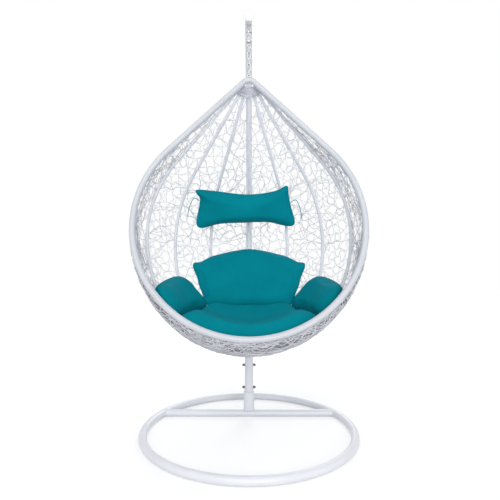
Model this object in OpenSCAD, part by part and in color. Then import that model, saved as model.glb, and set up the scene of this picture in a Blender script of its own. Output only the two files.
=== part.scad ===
// Hanging rattan chair: a ring base with a bent pole, a spring and chain, and a woven
// basket on ribs with seat, back and arm cushions and a head pillow.
// Frame: +X is right, -Y is the open front, +Z is up, and the ring's centre on the floor
// is the origin. All lengths are in millimetres.

/* [Stand] */
// Diameter of the ring base along the middle of its tube
ring_d = 1000; // [960:10:1060]
// Outside diameter of the ring, crossbar and pole tubes
tube_d = 38; // [36:1:40]
// Wall of the ring, crossbar and pole tubes
tube_wall = 2; // [1.5:0.5:3]
// Distance from the ring's centre back to the crossbar
crossbar_back = 210; // [190:5:230]
// Outside diameter of the socket post on the crossbar
post_od = 45; // [44:0.5:48]
// Height of the socket post's open top
post_top = 318; // [300:2:340]
// Outside diameter of the collar round the foot of the post
collar_od = 56; // [54:1:60]
// Height of the collar's top edge
collar_top = 136; // [120:2:150]
// Height of the lower through bolt of the post
bolt_low = 157; // [150:1:170]
// Height of the upper through bolt of the post
bolt_high = 276; // [260:1:290]
// Bend radius of the pole above the post
pole_bend = 220; // [200:5:240]
// Backward lean of the pole's straight stretch
pole_lean = 45; // [43:1:46]
// Height of the middle of the arm at its front end
arm_z = 1976; // [1950:2:2000]
// Straight length at the front of the arm
arm_flat = 45; // [40:1:60]
// Distance along the straight stretch from the lower bend to the pole's joint
joint_at = 160; // [120:5:200]

/* [Hanging gear] */
// Place of the hanging line in front of the ring's centre
hang_front = 30; // [20:1:40]
// Diameter of the wire of the eyes, the link and the chain
wire = 6; // [5:0.5:6.5]
// Outside diameter of the spring
spring_od = 32; // [30:1:34]
// Length of the spring between its two seats
spring_len = 39.4; // [38:0.2:44]
// Diameter of the spring's own wire
spring_wire = 4; // [3:0.5:4]
// Number of curls in the spring
spring_curls = 6; // [4:1:6]
// Number of links in the chain
chain_links = 5; // [3:2:5]

/* [Basket frame] */
// Drop from the middle of the arm to the point where the rim's two straight sides would meet
hang_drop = 271; // [256:1:286]
// Lean of the rim's plane, with its foot to the front
rim_tilt = 14.5; // [13:0.5:16]
// Distance from the peak down to the middle of the rim's round part
rim_drop = 735; // [720:5:750]
// Radius of the rim's round part
rim_r = 505; // [490:5:515]
// Outside diameter of the rim's tube
rim_d = 28; // [26:1:30]
// Radius of the bend over the rim's peak
peak_bend = 35; // [30:1:40]
// Depth of the basket's middle behind the rim's plane
bowl_back = 90; // [80:2:100]
// Shift of the arc centres that makes the belly full
belly_drop = 70; // [60:2:80]
// Outside diameter of a rib
rib_d = 16; // [14:1:17]
// Angle between two ribs
rib_step = 25; // [24:0.5:25.5]
// Thickness of the woven wall
weave_t = 2.5; // [2:0.25:4]

/* [Cushions] */
// Thickness of the seat cushion at its crown
seat_thick = 110; // [80:5:125]
// Thickness of the back cushion at its crown
back_thick = 90; // [70:5:105]
// Thickness of an arm cushion at its crown
arm_thick = 80; // [60:5:95]
// Thickness of the head pillow at its crown
pillow_thick = 110; // [80:5:120]
// Turn of the head pillow's middle from the chair's middle, in degrees
pillow_turn = -3.5; // [-6:0.5:4]
// Diameter of the pillow's tie cords
tie_d = 4; // [3:0.5:5]

/* [Hidden] */
$fn = 96;
gap = 0.3;
cut_past = 1;
ring_r = ring_d / 2;
tube_r = tube_d / 2;
bore_d = tube_d - 2 * tube_wall;
post_fit = 0.8;
post_id = tube_d + 2 * post_fit;
hang_y = -hang_front;
peak_z = arm_z - hang_drop;
plank = 2000;

// Pole path in the Y-Z plane
bend_top_y = crossbar_back + pole_bend * (1 - cos(pole_lean));
bend_above = 12;
pole_z = post_top + bend_above;
bend_top_z = pole_z + pole_bend * sin(pole_lean);
arch_behind = 10;
arch_y = hang_y + arch_behind;
arch_r = ((arm_z - bend_top_z) * sin(pole_lean) + (bend_top_y - arch_y) * cos(pole_lean))
    / (1 + sin(pole_lean));
arch_z = arm_z - arch_r;
straight_len = (arch_y + arch_r * cos(pole_lean) - bend_top_y) / sin(pole_lean);
foot_above = 24;
pole_foot = tube_d + foot_above;
spigot_len = 80;

// Through bolts
bolt_d = 8;
bolt_hole = bolt_d + 2 * gap;
hex_flats = 13;
hex_d = hex_flats / cos(30);
hex_h = 6;
dome_d = 12;
bolt_past = 1;
washer_d = 16;
washer_t = 1.6;

// Hanging gear, from the arm down
link_r = wire + gap;
eye_r = 9;
ring_eye_r = 8;
link_len = 8;
seat_t = 6;
shank_d = 8;
eye_clear = 1;
arm_eye_z = arm_z - tube_r - wire / 2 - eye_clear;
arm_wire_z = arm_eye_z - eye_r;
link_foot_z = arm_wire_z - link_len;
top_ring_z = link_foot_z - ring_eye_r;
ring_sink = 0.5;
top_seat_z = top_ring_z - ring_eye_r - wire + ring_sink;
low_seat_z = top_seat_z - spring_len - seat_t;
swivel_gap = 1;
low_ring_z = low_seat_z - swivel_gap - wire / 2 - ring_eye_r;
chain_top_z = low_ring_z - ring_eye_r;

// Basket
rim_side = sqrt(rim_drop * rim_drop - rim_r * rim_r);
rim_half = asin(rim_r / rim_drop);
ball_r = sqrt(rim_r * rim_r + bowl_back * bowl_back);
ball_drop = sqrt(rim_drop * rim_drop + bowl_back * bowl_back);
cone_half = asin(ball_r / ball_drop);
chair_lean = rim_tilt - atan(bowl_back / rim_drop);
flank_r = ball_r + belly_drop;
belly_r = flank_r - belly_drop * sqrt(2);
weave_in = rib_d / 2 + gap;
weave_back = rim_d / 2 + gap;
crown_r = peak_bend / sin(rim_half) - peak_bend;
peak_top_z = peak_z - crown_r * cos(rim_tilt) + rim_d / 2;
chair_eye_sink = 3;
chair_eye_z = peak_top_z + eye_r - chair_eye_sink;
chain_foot_z = chair_eye_z + eye_r;
chain_len = (chain_top_z - chain_foot_z - (chain_links - 1) * link_r) / chain_links;
rib_top = 86;
rib_wall = 1;
weave_top = 56;
weave_bar = 14;
open_through = 40;
open_span = 168;
open_count = 12;
back_rows = 3;
top_rows = [0.27, 0.5, 0.75, 1];
hub_r = 56;
hub_angle = asin(hub_r / belly_r);

// Tubes and placing

module ring_section(d, wall) {
    difference() {
        circle(d = d);
        circle(d = d - 2 * wall);
    }
}

// A bent stretch of tube in the X-Z plane, angles counted from +X towards +Z
module bent_tube(r, from, sweep, d, wall) {
    rotate([90, 0, 0])
        rotate([0, 0, from])
            rotate_extrude(angle = sweep)
                translate([r, 0])
                    ring_section(d, wall);
}

module bent_rod(r, from, sweep, d) {
    rotate([90, 0, 0])
        rotate([0, 0, from])
            rotate_extrude(angle = sweep)
                translate([r, 0])
                    circle(d = d);
}

// A straight stretch in the X-Z plane that starts at u, z and leans from +Z towards +X
module straight_tube(u, z, lean, len, d, wall) {
    translate([u, 0, z])
        rotate([0, lean, 0])
            linear_extrude(len)
                ring_section(d, wall);
}

module from_side() {
    rotate([0, 0, 90])
        children();
}

module in_rim() {
    translate([0, hang_y, peak_z])
        rotate([-rim_tilt, 0, 0])
            children();
}

module in_chair() {
    translate([0, hang_y, peak_z])
        rotate([-chair_lean, 0, 0])
            children();
}

// Ring base

module base_ring() {
    color("#e6e8ee")
        translate([0, 0, tube_r])
            rotate_extrude()
                translate([ring_r, 0])
                    ring_section(tube_d, tube_wall);
}

module base_crossbar() {
    reach = sqrt(ring_r * ring_r - crossbar_back * crossbar_back);
    color("#e6e8ee")
        difference() {
            translate([-reach, crossbar_back, tube_r])
                rotate([0, 90, 0])
                    linear_extrude(2 * reach)
                        ring_section(tube_d, tube_wall);
            translate([0, 0, tube_r])
                rotate_extrude()
                    translate([ring_r, 0])
                        circle(r = tube_r + gap);
        }
}

module at_post() {
    translate([0, crossbar_back, 0])
        children();
}

module bolt_holes(reach) {
    for (z = [bolt_low, bolt_high])
        translate([-reach, 0, z])
            rotate([0, 90, 0])
                cylinder(h = 2 * reach, d = bolt_hole);
}

module base_post() {
    color("#e2e4ea")
        at_post()
            difference() {
                translate([0, 0, tube_d + gap])
                    cylinder(h = post_top - tube_d - gap, d = post_od);
                cylinder(h = post_top + cut_past, d = post_id);
                bolt_holes(post_od);
            }
}

module post_collar() {
    color("#e6e8ee")
        at_post()
            difference() {
                translate([0, 0, tube_d + gap])
                    cylinder(h = collar_top - tube_d - gap, d = collar_od);
                cylinder(h = collar_top + cut_past, d = post_od + 2 * gap);
            }
}

// Bolt along +X from its domed head to its tip, with the grip between head and nut
module dome_bolt(grip) {
    shank = grip + hex_h + bolt_past;
    rotate([0, 90, 0]) {
        cylinder(h = shank, d = bolt_d);
        translate([0, 0, -hex_h]) {
            cylinder(h = hex_h, d = hex_d, $fn = 6);
            difference() {
                sphere(d = dome_d);
                cylinder(h = dome_d, d = dome_d + 2 * cut_past);
            }
        }
    }
}

module dome_nut() {
    rotate([0, 90, 0])
        difference() {
            union() {
                cylinder(h = hex_h, d = hex_d, $fn = 6);
                translate([0, 0, hex_h])
                    difference() {
                        sphere(d = dome_d);
                        translate([0, 0, -dome_d])
                            cylinder(h = dome_d, d = dome_d + 2 * cut_past);
                    }
            }
            translate([0, 0, -cut_past])
                cylinder(h = hex_h + cut_past + bolt_past + gap, d = bolt_d + gap);
        }
}

module post_bolts() {
    grip = post_od + 2 * (washer_t + 2 * gap);
    color("#55504e")
        at_post()
            for (z = [bolt_low, bolt_high])
                translate([-grip / 2, 0, z])
                    dome_bolt(grip);
}

module post_nuts() {
    grip = post_od + 2 * (washer_t + 2 * gap);
    color("#5c5754")
        at_post()
            for (z = [bolt_low, bolt_high])
                translate([grip / 2, 0, z])
                    dome_nut();
}

module post_washers() {
    color("#6a6664")
        at_post()
            for (z = [bolt_low, bolt_high], side = [-1, 1])
                translate([side * (post_od / 2 + gap + washer_t / 2), 0, z])
                    rotate([0, 90, 0])
                        difference() {
                            cylinder(h = washer_t, d = washer_d, center = true);
                            cylinder(h = 2 * washer_t, d = bolt_d + 2 * gap, center = true);
                        }
}

// Pole and arm

module joint_place() {
    translate([0, bend_top_y + joint_at * sin(pole_lean), bend_top_z + joint_at * cos(pole_lean)])
        rotate([-pole_lean, 0, 0])
            children();
}

module joint_hole() {
    joint_place()
        translate([-tube_d, 0, -spigot_len / 2])
            rotate([0, 90, 0])
                cylinder(h = 2 * tube_d, d = bolt_hole);
}

module lower_pole() {
    color("#dfe1e8")
        difference() {
            from_side()
                translate([crossbar_back + pole_bend, 0, pole_z])
                    mirror([1, 0, 0]) {
                        translate([pole_bend, 0, pole_foot - pole_z])
                            linear_extrude(pole_z - pole_foot)
                                ring_section(tube_d, tube_wall);
                        bent_tube(pole_bend, 0, pole_lean, tube_d, tube_wall);
                        rotate([0, -pole_lean, 0])
                            translate([pole_bend, 0, 0])
                                linear_extrude(joint_at)
                                    ring_section(tube_d, tube_wall);
                    }
            at_post()
                bolt_holes(post_od);
            joint_hole();
        }
}

module upper_arm() {
    rest = straight_len - joint_at;
    sleeve_len = 30;
    spigot_root = 10;
    color("#dfe1e8")
        difference() {
            from_side() {
                translate([arch_y, 0, arch_z]) {
                    bent_tube(arch_r, 0, 90, tube_d, tube_wall);
                    rotate([0, pole_lean, 0]) {
                        bent_tube(arch_r, 0, pole_lean, tube_d, tube_wall);
                        translate([arch_r, 0, -rest + gap])
                            linear_extrude(rest - gap)
                                ring_section(tube_d, tube_wall);
                        translate([arch_r, 0, -rest + gap])
                            linear_extrude(sleeve_len)
                                ring_section(tube_d - tube_wall, 1.5 * tube_wall);
                        translate([arch_r, 0, -rest - spigot_len])
                            linear_extrude(spigot_len + spigot_root)
                                ring_section(bore_d - 2 * gap, tube_wall);
                    }
                }
                straight_tube(arch_y, arm_z, -90, arm_flat, tube_d, tube_wall);
            }
            joint_hole();
        }
}

module pole_joint_bolt() {
    color("#55504e")
        joint_place()
            translate([-tube_r - gap, 0, -spigot_len / 2])
                dome_bolt(tube_d + 2 * gap);
}

module pole_joint_nut() {
    color("#5c5754")
        joint_place()
            translate([tube_r + gap, 0, -spigot_len / 2])
                dome_nut();
}

// Cap on the arm's open front end, a plug in the tube with a wide domed face
module arm_end_cap() {
    cap_rim = 6;
    cap_d = tube_d + 2 * cap_rim;
    face = 6;
    plug = 24;
    dome_h = 10;
    dome_r = (cap_d * cap_d / 4 + dome_h * dome_h) / (2 * dome_h);
    color("#f0f0f2")
        translate([0, arch_y - arm_flat - gap, arm_z])
            rotate([90, 0, 0]) {
                cylinder(h = face, d = cap_d);
                translate([0, 0, -plug])
                    cylinder(h = plug + face / 2, d = bore_d - 2 * gap);
                intersection() {
                    translate([0, 0, face + dome_h - dome_r])
                        sphere(r = dome_r);
                    translate([0, 0, face / 2])
                        cylinder(h = dome_h + face / 2, d = cap_d);
                }
            }
}

// Hanging gear

// A wire ring that faces the front
module wire_ring(r) {
    bent_rod(r, 0, 360, wire);
}

// A long link in the Y-Z plane, its two arc centres at 0 and at -len
module long_link(len) {
    from_side() {
        bent_rod(link_r, 0, 180, wire);
        translate([0, 0, -len])
            bent_rod(link_r, 180, 180, wire);
        for (side = [-1, 1])
            translate([side * link_r, 0, -len])
                cylinder(h = len, d = wire);
    }
}

module at_hang(z) {
    translate([0, hang_y, z])
        children();
}

module arm_eye() {
    color("#b9bcc4")
        difference() {
            at_hang(arm_eye_z)
                wire_ring(eye_r);
            translate([0, -plank / 2, arm_z])
                rotate([-90, 0, 0])
                    cylinder(h = plank, r = tube_r + gap / 10);
        }
}

module top_link() {
    color("#8d9098")
        at_hang(arm_wire_z)
            long_link(link_len);
}

module spring_top_seat() {
    color("#c9ccd4")
        union() {
            at_hang(top_ring_z)
                wire_ring(ring_eye_r);
            at_hang(top_seat_z)
                cylinder(h = seat_t, d = spring_od);
        }
}

// Points of the spring's middle line: a straight end, a helix that eases in and out, and
// a straight end, each end square to its seat
spring_r = (spring_od - spring_wire) / 2;
curl_rings = 8;
spring_steps = spring_curls * curl_rings;
spring_low = low_seat_z + seat_t + gap;
spring_top = top_seat_z - gap;
end_clear = 0.6;
spring_end = spring_wire + end_clear;
helix_h = spring_top - spring_low - 2 * spring_end;

function spring_point(i) =
    [spring_r * cos(360 * i / curl_rings), spring_r * sin(360 * i / curl_rings),
        spring_low + spring_end + helix_h * i / spring_steps];

spring_line = concat(
    [[spring_r, 0, spring_low], [spring_r, 0, spring_low + spring_end / 2]],
    [for (i = [0 : spring_steps]) spring_point(i)],
    [[spring_r, 0, spring_top - spring_end / 2], [spring_r, 0, spring_top]]);

// The spring's least distance from itself, between points half a curl or more apart
least_spring_gap = min([for (i = [0 : len(spring_line) - 1],
    j = [i + curl_rings / 2 : 1 : len(spring_line) - 1])
        norm(spring_line[i] - spring_line[j])]) - spring_wire;
echo(least_spring_gap = least_spring_gap);

// A tube of flat-sided rings round a line of points, each ring square to the line there
function unit(v) = v / norm(v);
function line_way(line, i) =
    unit(line[min(i + 1, len(line) - 1)] - line[max(i - 1, 0)]);
function tube_ring(at, way, out, r, sides) =
    let (across = unit(cross(way, out)), up = cross(across, way))
        [for (k = [0 : sides - 1])
            at + r * cos(360 * k / sides) * up + r * sin(360 * k / sides) * across];

module line_tube(line, r, sides, outs) {
    n = len(line);
    points = [for (i = [0 : n - 1], p = tube_ring(line[i], line_way(line, i), outs[i], r, sides)) p];
    side_faces = [for (i = [0 : n - 2], k = [0 : sides - 1], half = [0, 1])
        let (a = i * sides + k, b = i * sides + (k + 1) % sides)
            half == 0 ? [a, b, b + sides] : [a, b + sides, a + sides]];
    foot_faces = [for (k = [1 : sides - 2]) [0, k + 1, k]];
    last = (n - 1) * sides;
    top_faces = [for (k = [1 : sides - 2]) [last, last + k, last + k + 1]];
    polyhedron(points, concat(side_faces, foot_faces, top_faces));
}

module spring() {
    outs = [for (p = spring_line) unit([p[0], p[1], 0])];
    color("#e9eaee")
        at_hang(0)
            line_tube(spring_line, spring_wire / 2, 6, outs);
}

module spring_low_seat() {
    color("#c9ccd4")
        at_hang(low_seat_z)
            difference() {
                cylinder(h = seat_t, d = spring_od);
                translate([0, 0, -cut_past])
                    cylinder(h = seat_t + 2 * cut_past, d = shank_d + 2 * gap);
            }
}

module swivel_eye() {
    flange_t = 4;
    flange_out = 3;
    color("#a9acb4")
        union() {
            at_hang(low_seat_z + seat_t + gap)
                cylinder(h = flange_t, d = shank_d + 2 * flange_out);
            at_hang(low_ring_z + ring_eye_r)
                cylinder(h = low_seat_z + seat_t + cut_past - low_ring_z - ring_eye_r, d = shank_d);
            at_hang(low_ring_z)
                wire_ring(ring_eye_r);
        }
}

module chain() {
    step = chain_len + link_r;
    color("#9a9da5")
        for (i = [0 : chain_links - 1])
            at_hang(chain_top_z - i * step)
                rotate([0, 0, i % 2 == 0 ? 0 : 90])
                    long_link(chain_len);
}

module chair_eye() {
    color("#b9bcc4")
        difference() {
            at_hang(chair_eye_z)
                wire_ring(eye_r);
            rim_peak_rod(rim_d + 2 * gap);
        }
}

// Rim, hubs and ribs

module rim_peak_rod(d) {
    bend_down = peak_bend / sin(rim_half);
    skip = peak_bend / tan(rim_half);
    in_rim() {
        translate([0, 0, -bend_down])
            bent_rod(peak_bend, rim_half, 180 - 2 * rim_half, d);
        for (side = [-1, 1])
            rotate([0, side * (180 - rim_half), 0])
                translate([0, 0, skip])
                    cylinder(h = rim_side - skip - gap, d = d);
    }
}

module rim_hoop_rod(d) {
    in_rim()
        translate([0, 0, -rim_drop])
            bent_rod(rim_r, 180 - rim_half, 180 + 2 * rim_half, d);
}

module rim_peak() {
    color("#eceef4")
        difference() {
            rim_peak_rod(rim_d);
            rim_peak_rod(rim_d - 2 * tube_wall);
        }
}

module rim_hoop() {
    color("#eceef4")
        difference() {
            rim_hoop_rod(rim_d);
            rim_hoop_rod(rim_d - 2 * tube_wall);
        }
}

// The half cone that the tops of the ribs run into, behind the rim's peak
module peak_hub() {
    hub_top = 46;
    color("#e6e8ee")
        difference() {
            in_chair()
                rotate_extrude(angle = 180)
                    rotate(-90 + cone_half)
                        translate([hub_top, -rib_d / 2])
                            square([rib_top - hub_top - gap, rib_d]);
            in_rim()
                for (side = [-1, 1])
                    rotate([0, side * (180 - rim_half), 0])
                        cylinder(h = 2 * rib_top, d = rim_d + 2 * gap);
        }
}

module belly_hub() {
    color("#e6e8ee")
        in_chair()
            rotate_extrude()
                intersection() {
                    translate([0, -ball_drop - belly_drop])
                        ring_section(2 * belly_r + rib_d, rib_d);
                    polygon([[0, -ball_drop - belly_drop], [0, -plank],
                        [(plank - ball_drop - belly_drop) * tan(hub_angle), -plank]]);
                }
}

// A rib along the basket's outline, in the X-Z plane of the chair, in an upper and a
// lower length that meet where the basket is widest
module rib_line() {
    joint_angle = 360 * gap / (2 * PI * flank_r);
    translate([0, 0, -ball_drop])
        rotate([0, -cone_half, 0]) {
            translate([ball_r, 0, 0])
                linear_extrude(rim_side - rib_top)
                    ring_section(rib_d, rib_wall);
            mirror([0, 0, 1])
                bent_tube(ball_r, 0, cone_half, rib_d, rib_wall);
        }
    translate([-belly_drop, 0, -ball_drop])
        bent_tube(flank_r, -45, 45 - joint_angle, rib_d, rib_wall);
    belly_part();
}

module belly_part() {
    clear_angle = hub_angle + 360 * gap / (2 * PI * belly_r);
    translate([0, 0, -ball_drop - belly_drop])
        bent_tube(belly_r, -90 + clear_angle, 45 - clear_angle, rib_d, rib_wall);
}

module rib(turn) {
    color("#e9ebf1")
        in_chair()
            rotate([0, 0, 90 - turn])
                rib_line();
}

module rib_left_3() { rib(-3 * rib_step); }
module rib_left_2() { rib(-2 * rib_step); }
module rib_left_1() { rib(-rib_step); }
module rib_middle() { rib(0); }
module rib_right_1() { rib(rib_step); }
module rib_right_2() { rib(2 * rib_step); }
module rib_right_3() { rib(3 * rib_step); }

module behind_rim(depth) {
    in_rim()
        translate([-plank / 2, depth, -plank])
            cube([plank, plank, 1.5 * plank]);
}

// The short rib from the hub under the seat forward to the rim's foot
module rib_front() {
    color("#e9ebf1")
        intersection() {
            in_chair()
                rotate([0, 0, -90])
                    belly_part();
            behind_rim(weave_back + weave_t + gap);
        }
}

// Woven wall
// It has four zones down the basket: a cone, a ball, a flank and a belly. Each zone is a
// shell on the ribs' outer side, and the lip closes the lower two to the rim's foot.

module below_ball() {
    intersection() {
        children();
        polygon([[0, -ball_drop - gap], [plank, -ball_drop - gap],
            [plank, -ball_drop - plank - belly_drop], [0, -ball_drop - belly_drop]]);
    }
}

module below_flank() {
    low = ball_drop + belly_drop + 2 * gap;
    intersection() {
        children();
        polygon([[0, -low], [plank, -low - plank], [0, -low - plank]]);
    }
}

module wall_zone() {
    intersection() {
        in_chair()
            rotate_extrude()
                children();
        behind_rim(weave_back);
    }
}

module wall_ring(r) {
    ring_section(2 * (r + weave_in + weave_t), weave_t);
}

// An opening with a narrower upper edge, through the wall at a turn from the back and a rise
module wall_opening(turn, rise, down, high, upper, lower) {
    in_chair()
        translate([0, 0, -ball_drop])
            rotate([0, 0, -turn])
                rotate([rise - 90, 0, 0])
                    translate([0, down, ball_r])
                        linear_extrude(height = open_through)
                            polygon([[-upper / 2, -high / 2], [upper / 2, -high / 2],
                                [lower / 2, high / 2], [-lower / 2, high / 2]]);
}

// A row of openings in the straight upper wall, between two distances from the rim's peak
module top_openings(from, to, count) {
    span = open_span / count;
    high = to - from - weave_bar;
    upper = 2 * (from + weave_bar / 2) * sin(cone_half) * sin(span / 2) - weave_bar;
    lower = 2 * (to - weave_bar / 2) * sin(cone_half) * sin(span / 2) - weave_bar;
    for (i = [0 : count - 1])
        wall_opening(span * (i + 0.5) - open_span / 2, cone_half, (from + to) / 2 - rim_side,
            high, upper, lower);
}

// A row of openings in the ball-shaped wall, between two rises
module back_openings(low, top) {
    span = open_span / open_count;
    high = 2 * ball_r * sin((top - low) / 2) - weave_bar;
    upper = 2 * ball_r * cos(top) * sin(span / 2) - weave_bar;
    lower = 2 * ball_r * cos(low) * sin(span / 2) - weave_bar;
    for (i = [0 : open_count - 1])
        wall_opening(span * (i + 0.5) - open_span / 2, (low + top) / 2, 0, high, upper, lower);
}

module woven_top() {
    color("#dfe1ea")
        difference() {
            wall_zone()
                rotate(-90 + cone_half)
                    translate([weave_top, weave_in])
                        square([rim_side - weave_top - gap, weave_t]);
            top_openings(rim_side * top_rows[0], rim_side * top_rows[1], open_count / 2);
            top_openings(rim_side * top_rows[1], rim_side * top_rows[2], open_count);
            top_openings(rim_side * top_rows[2], rim_side * top_rows[3], open_count);
        }
}

module woven_back() {
    color("#dfe1ea")
        difference() {
            wall_zone()
                intersection() {
                    translate([0, -ball_drop])
                        wall_ring(ball_r);
                    polygon([[0, -ball_drop], [plank, -ball_drop],
                        [plank, plank * tan(cone_half) - ball_drop]]);
                }
            for (row = [0 : back_rows - 1])
                back_openings(cone_half * row / back_rows, cone_half * (row + 1) / back_rows);
        }
}

module woven_flank() {
    color("#dfe1ea")
        wall_zone()
            below_ball()
                translate([-belly_drop, -ball_drop])
                    wall_ring(flank_r);
}

module woven_belly() {
    color("#dfe1ea")
        wall_zone()
            below_flank()
                translate([0, -ball_drop - belly_drop])
                    wall_ring(belly_r);
}

// The flat ring behind the rim's foot, inside a body that is turned about the chair's axis
module lip_in() {
    lip_from = 150;
    intersection() {
        in_chair()
            rotate_extrude()
                children();
        in_rim()
            difference() {
                translate([-plank / 2, weave_back, -plank])
                    cube([plank, weave_t, plank - rim_drop - lip_from]);
                translate([0, 0, -rim_drop])
                    rotate([-90, 0, 0])
                        cylinder(h = plank, r = rim_r);
            }
    }
}

module woven_lip() {
    color("#dfe1ea") {
        lip_in()
            below_ball()
                translate([-belly_drop, -ball_drop])
                    circle(r = flank_r + weave_in - gap);
        lip_in()
            below_flank()
                translate([0, -ball_drop - belly_drop])
                    circle(r = belly_r + weave_in - gap);
    }
}

// Cushions
// A place on the basket's wall is a turn from the back, in degrees towards +X, and a fall
// below the level of the basket's middle. Depth goes inward from the ribs.

join_fall = atan2(belly_drop + belly_r * sin(45), belly_r * cos(45));

function wall_reach(fall) =
    fall > join_fall ? belly_drop * sin(fall) + sqrt(pow(belly_r, 2) - pow(belly_drop * cos(fall), 2))
    : fall > 0 ? -belly_drop * cos(fall) + sqrt(pow(flank_r, 2) - pow(belly_drop * sin(fall), 2))
    : fall > -cone_half ? ball_r
    : ball_r / cos(-fall - cone_half);

function wall_point(turn, fall, depth) =
    let (reach = wall_reach(fall) - rib_d / 2 - depth)
        [reach * sin(turn) * cos(fall), reach * cos(turn) * cos(fall), -ball_drop - reach * sin(fall)];

// The bowl spread flat round its lowest point: across to +X and back to +Y, in degrees
function bowl_point(spot, depth) =
    wall_point(atan2(spot[0], spot[1]), 90 - norm(spot), depth);

function back_point(spot, depth) = wall_point(spot[0], spot[1], depth);

// A closed curve through corners, four steps from each to the next
curve_steps = 4;
function curve_spot(a, b, c, d, t) =
    0.5 * (2 * b + (c - a) * t + (2 * a - 5 * b + 4 * c - d) * t * t
        + (3 * b - a - 3 * c + d) * t * t * t);
function closed_curve(corners) =
    let (n = len(corners))
        [for (i = [0 : n - 1], k = [0 : curve_steps - 1])
            curve_spot(corners[(i + n - 1) % n], corners[i], corners[(i + 1) % n],
                corners[(i + 2) % n], k / curve_steps)];

function mirrored(corners) = [for (i = [len(corners) - 1 : -1 : 0]) [-corners[i][0], corners[i][1]]];

// Shares of the way from a cushion's middle out to its seam
ring_shares = [0.3, 0.55, 0.75, 0.89, 0.97];
seam_share = 0.38;
rest_gap = 0.5;

function crown(share, full) = pow(1 - pow(share, full), 0.5);
function face_depth(share, thick, full) =
    thick * (seam_share + (1 - seam_share) * crown(share, full));
function rest_depth(share, thick) = rest_gap + thick * seam_share * (1 - crown(share, 6));

// A crowned pad on the wall: its face and its back meet in a seam along the outline
module pad(outline, middle, thick, full, bowl) {
    n = len(outline);
    rings = len(ring_shares);
    function spot(i, share) = middle + share * (outline[i] - middle);
    function place(at, depth) = bowl ? bowl_point(at, depth) : back_point(at, depth);
    face = [for (share = ring_shares, i = [0 : n - 1])
        place(spot(i, share), face_depth(share, thick, full))];
    seam = [for (i = [0 : n - 1]) place(outline[i], thick * seam_share + rest_gap)];
    rest = [for (j = [rings - 1 : -1 : 0], i = [0 : n - 1])
        place(spot(i, ring_shares[j]), rest_depth(ring_shares[j], thick))];
    tips = [place(middle, thick), place(middle, rest_gap)];
    points = concat(face, seam, rest, tips);
    layers = 2 * rings + 1;
    top = n * layers;
    sides = [for (j = [0 : layers - 2], i = [0 : n - 1], half = [0, 1])
        let (a = j * n + i, b = j * n + (i + 1) % n)
            half == 0 ? [a, b, b + n] : [a, b + n, a + n]];
    face_fan = [for (i = [0 : n - 1]) [top, (i + 1) % n, i]];
    rest_fan = [for (i = [0 : n - 1]) [top + 1, top - n + i, top - n + (i + 1) % n]];
    in_chair()
        polyhedron(points, concat(sides, face_fan, rest_fan));
}

seat_right = [[0, 43], [15, 39.5], [27, 35.3], [32.6, 22], [34.4, 8], [37, -5], [31, -12], [0, -12]];
seat_left = [for (i = [6 : -1 : 1]) [-seat_right[i][0], seat_right[i][1]]];
back_right = [[0, 89.5], [19, 85.5], [36, 75.5], [44, 65.5], [49, 58.5], [43, 53.5], [38.5, 48.5],
    [33.4, 43.4], [28, 38.6], [15, 41.8], [0, 45.4]];
back_left = [for (i = [9 : -1 : 1]) [-back_right[i][0], back_right[i][1]]];
arm_corners = [[29.2, 36.8], [36, 42], [46, 44], [56, 37], [60, 20], [58, 0], [50, -7], [40, -3],
    [36.3, 10], [34.6, 24]];
pillow_corners = [[-43.5, -36], [-23.5, -38.2], [0, -37.6], [17.5, -38.2], [30.5, -38.8], [38.8, -41],
    [37.8, -34.5], [37.1, -27], [35.8, -14], [18.5, -17.6], [0, -17.3], [-17.5, -15.5], [-33.5, -12],
    [-36.6, -25], [-38, -31]];

module seat_cushion() {
    color("#008090")
        pad(closed_curve(concat(seat_right, seat_left)), [0, 12], seat_thick, 4, true);
}

module back_cushion() {
    color("#008090")
        pad(closed_curve(concat(back_right, back_left)), [0, 60], back_thick, 3, true);
}

module arm_cushion_left() {
    color("#008090")
        pad(closed_curve(mirrored(arm_corners)), [-46, 18], arm_thick, 3, true);
}

module arm_cushion_right() {
    color("#008090")
        pad(closed_curve(arm_corners), [46, 18], arm_thick, 3, true);
}

module head_pillow() {
    middle = [pillow_turn, -26];
    outline = closed_curve([for (c = pillow_corners) [c[0] + pillow_turn, c[1]]]);
    color("#008494")
        pad([for (i = [len(outline) - 1 : -1 : 0]) outline[i]], middle, pillow_thick, 2.5, false);
}

// A tie cord hangs from the pillow's side seam over the weave, as turn, fall and depth,
// with three rings from each point to the next
tie_route = [[37.5, -29, 43], [39, -29.7, 41], [41, -30, 34], [42, -28.5, 26], [42, -26, 21],
    [42, -23, 18], [42, -20, 17], [41.5, -17, 18]];

tie_steps = 3;
function tie_spot(i) = tie_route[max(0, min(i, len(tie_route) - 1))];
tie_places = concat(
    [for (i = [0 : len(tie_route) - 2], k = [0 : tie_steps - 1])
        curve_spot(tie_spot(i - 1), tie_spot(i), tie_spot(i + 1), tie_spot(i + 2), k / tie_steps)],
    [tie_spot(len(tie_route) - 1)]);

module tie(side) {
    line = [for (p = tie_places) wall_point(side * p[0] + pillow_turn, p[1], p[2])];
    outs = [for (p = tie_places) [0, 0.1, 1]];
    color("#007a88")
        in_chair()
            line_tube(line, tie_d / 2, 8, outs);
}

module pillow_tie_left() { tie(-1); }
module pillow_tie_right() { tie(1); }

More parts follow.
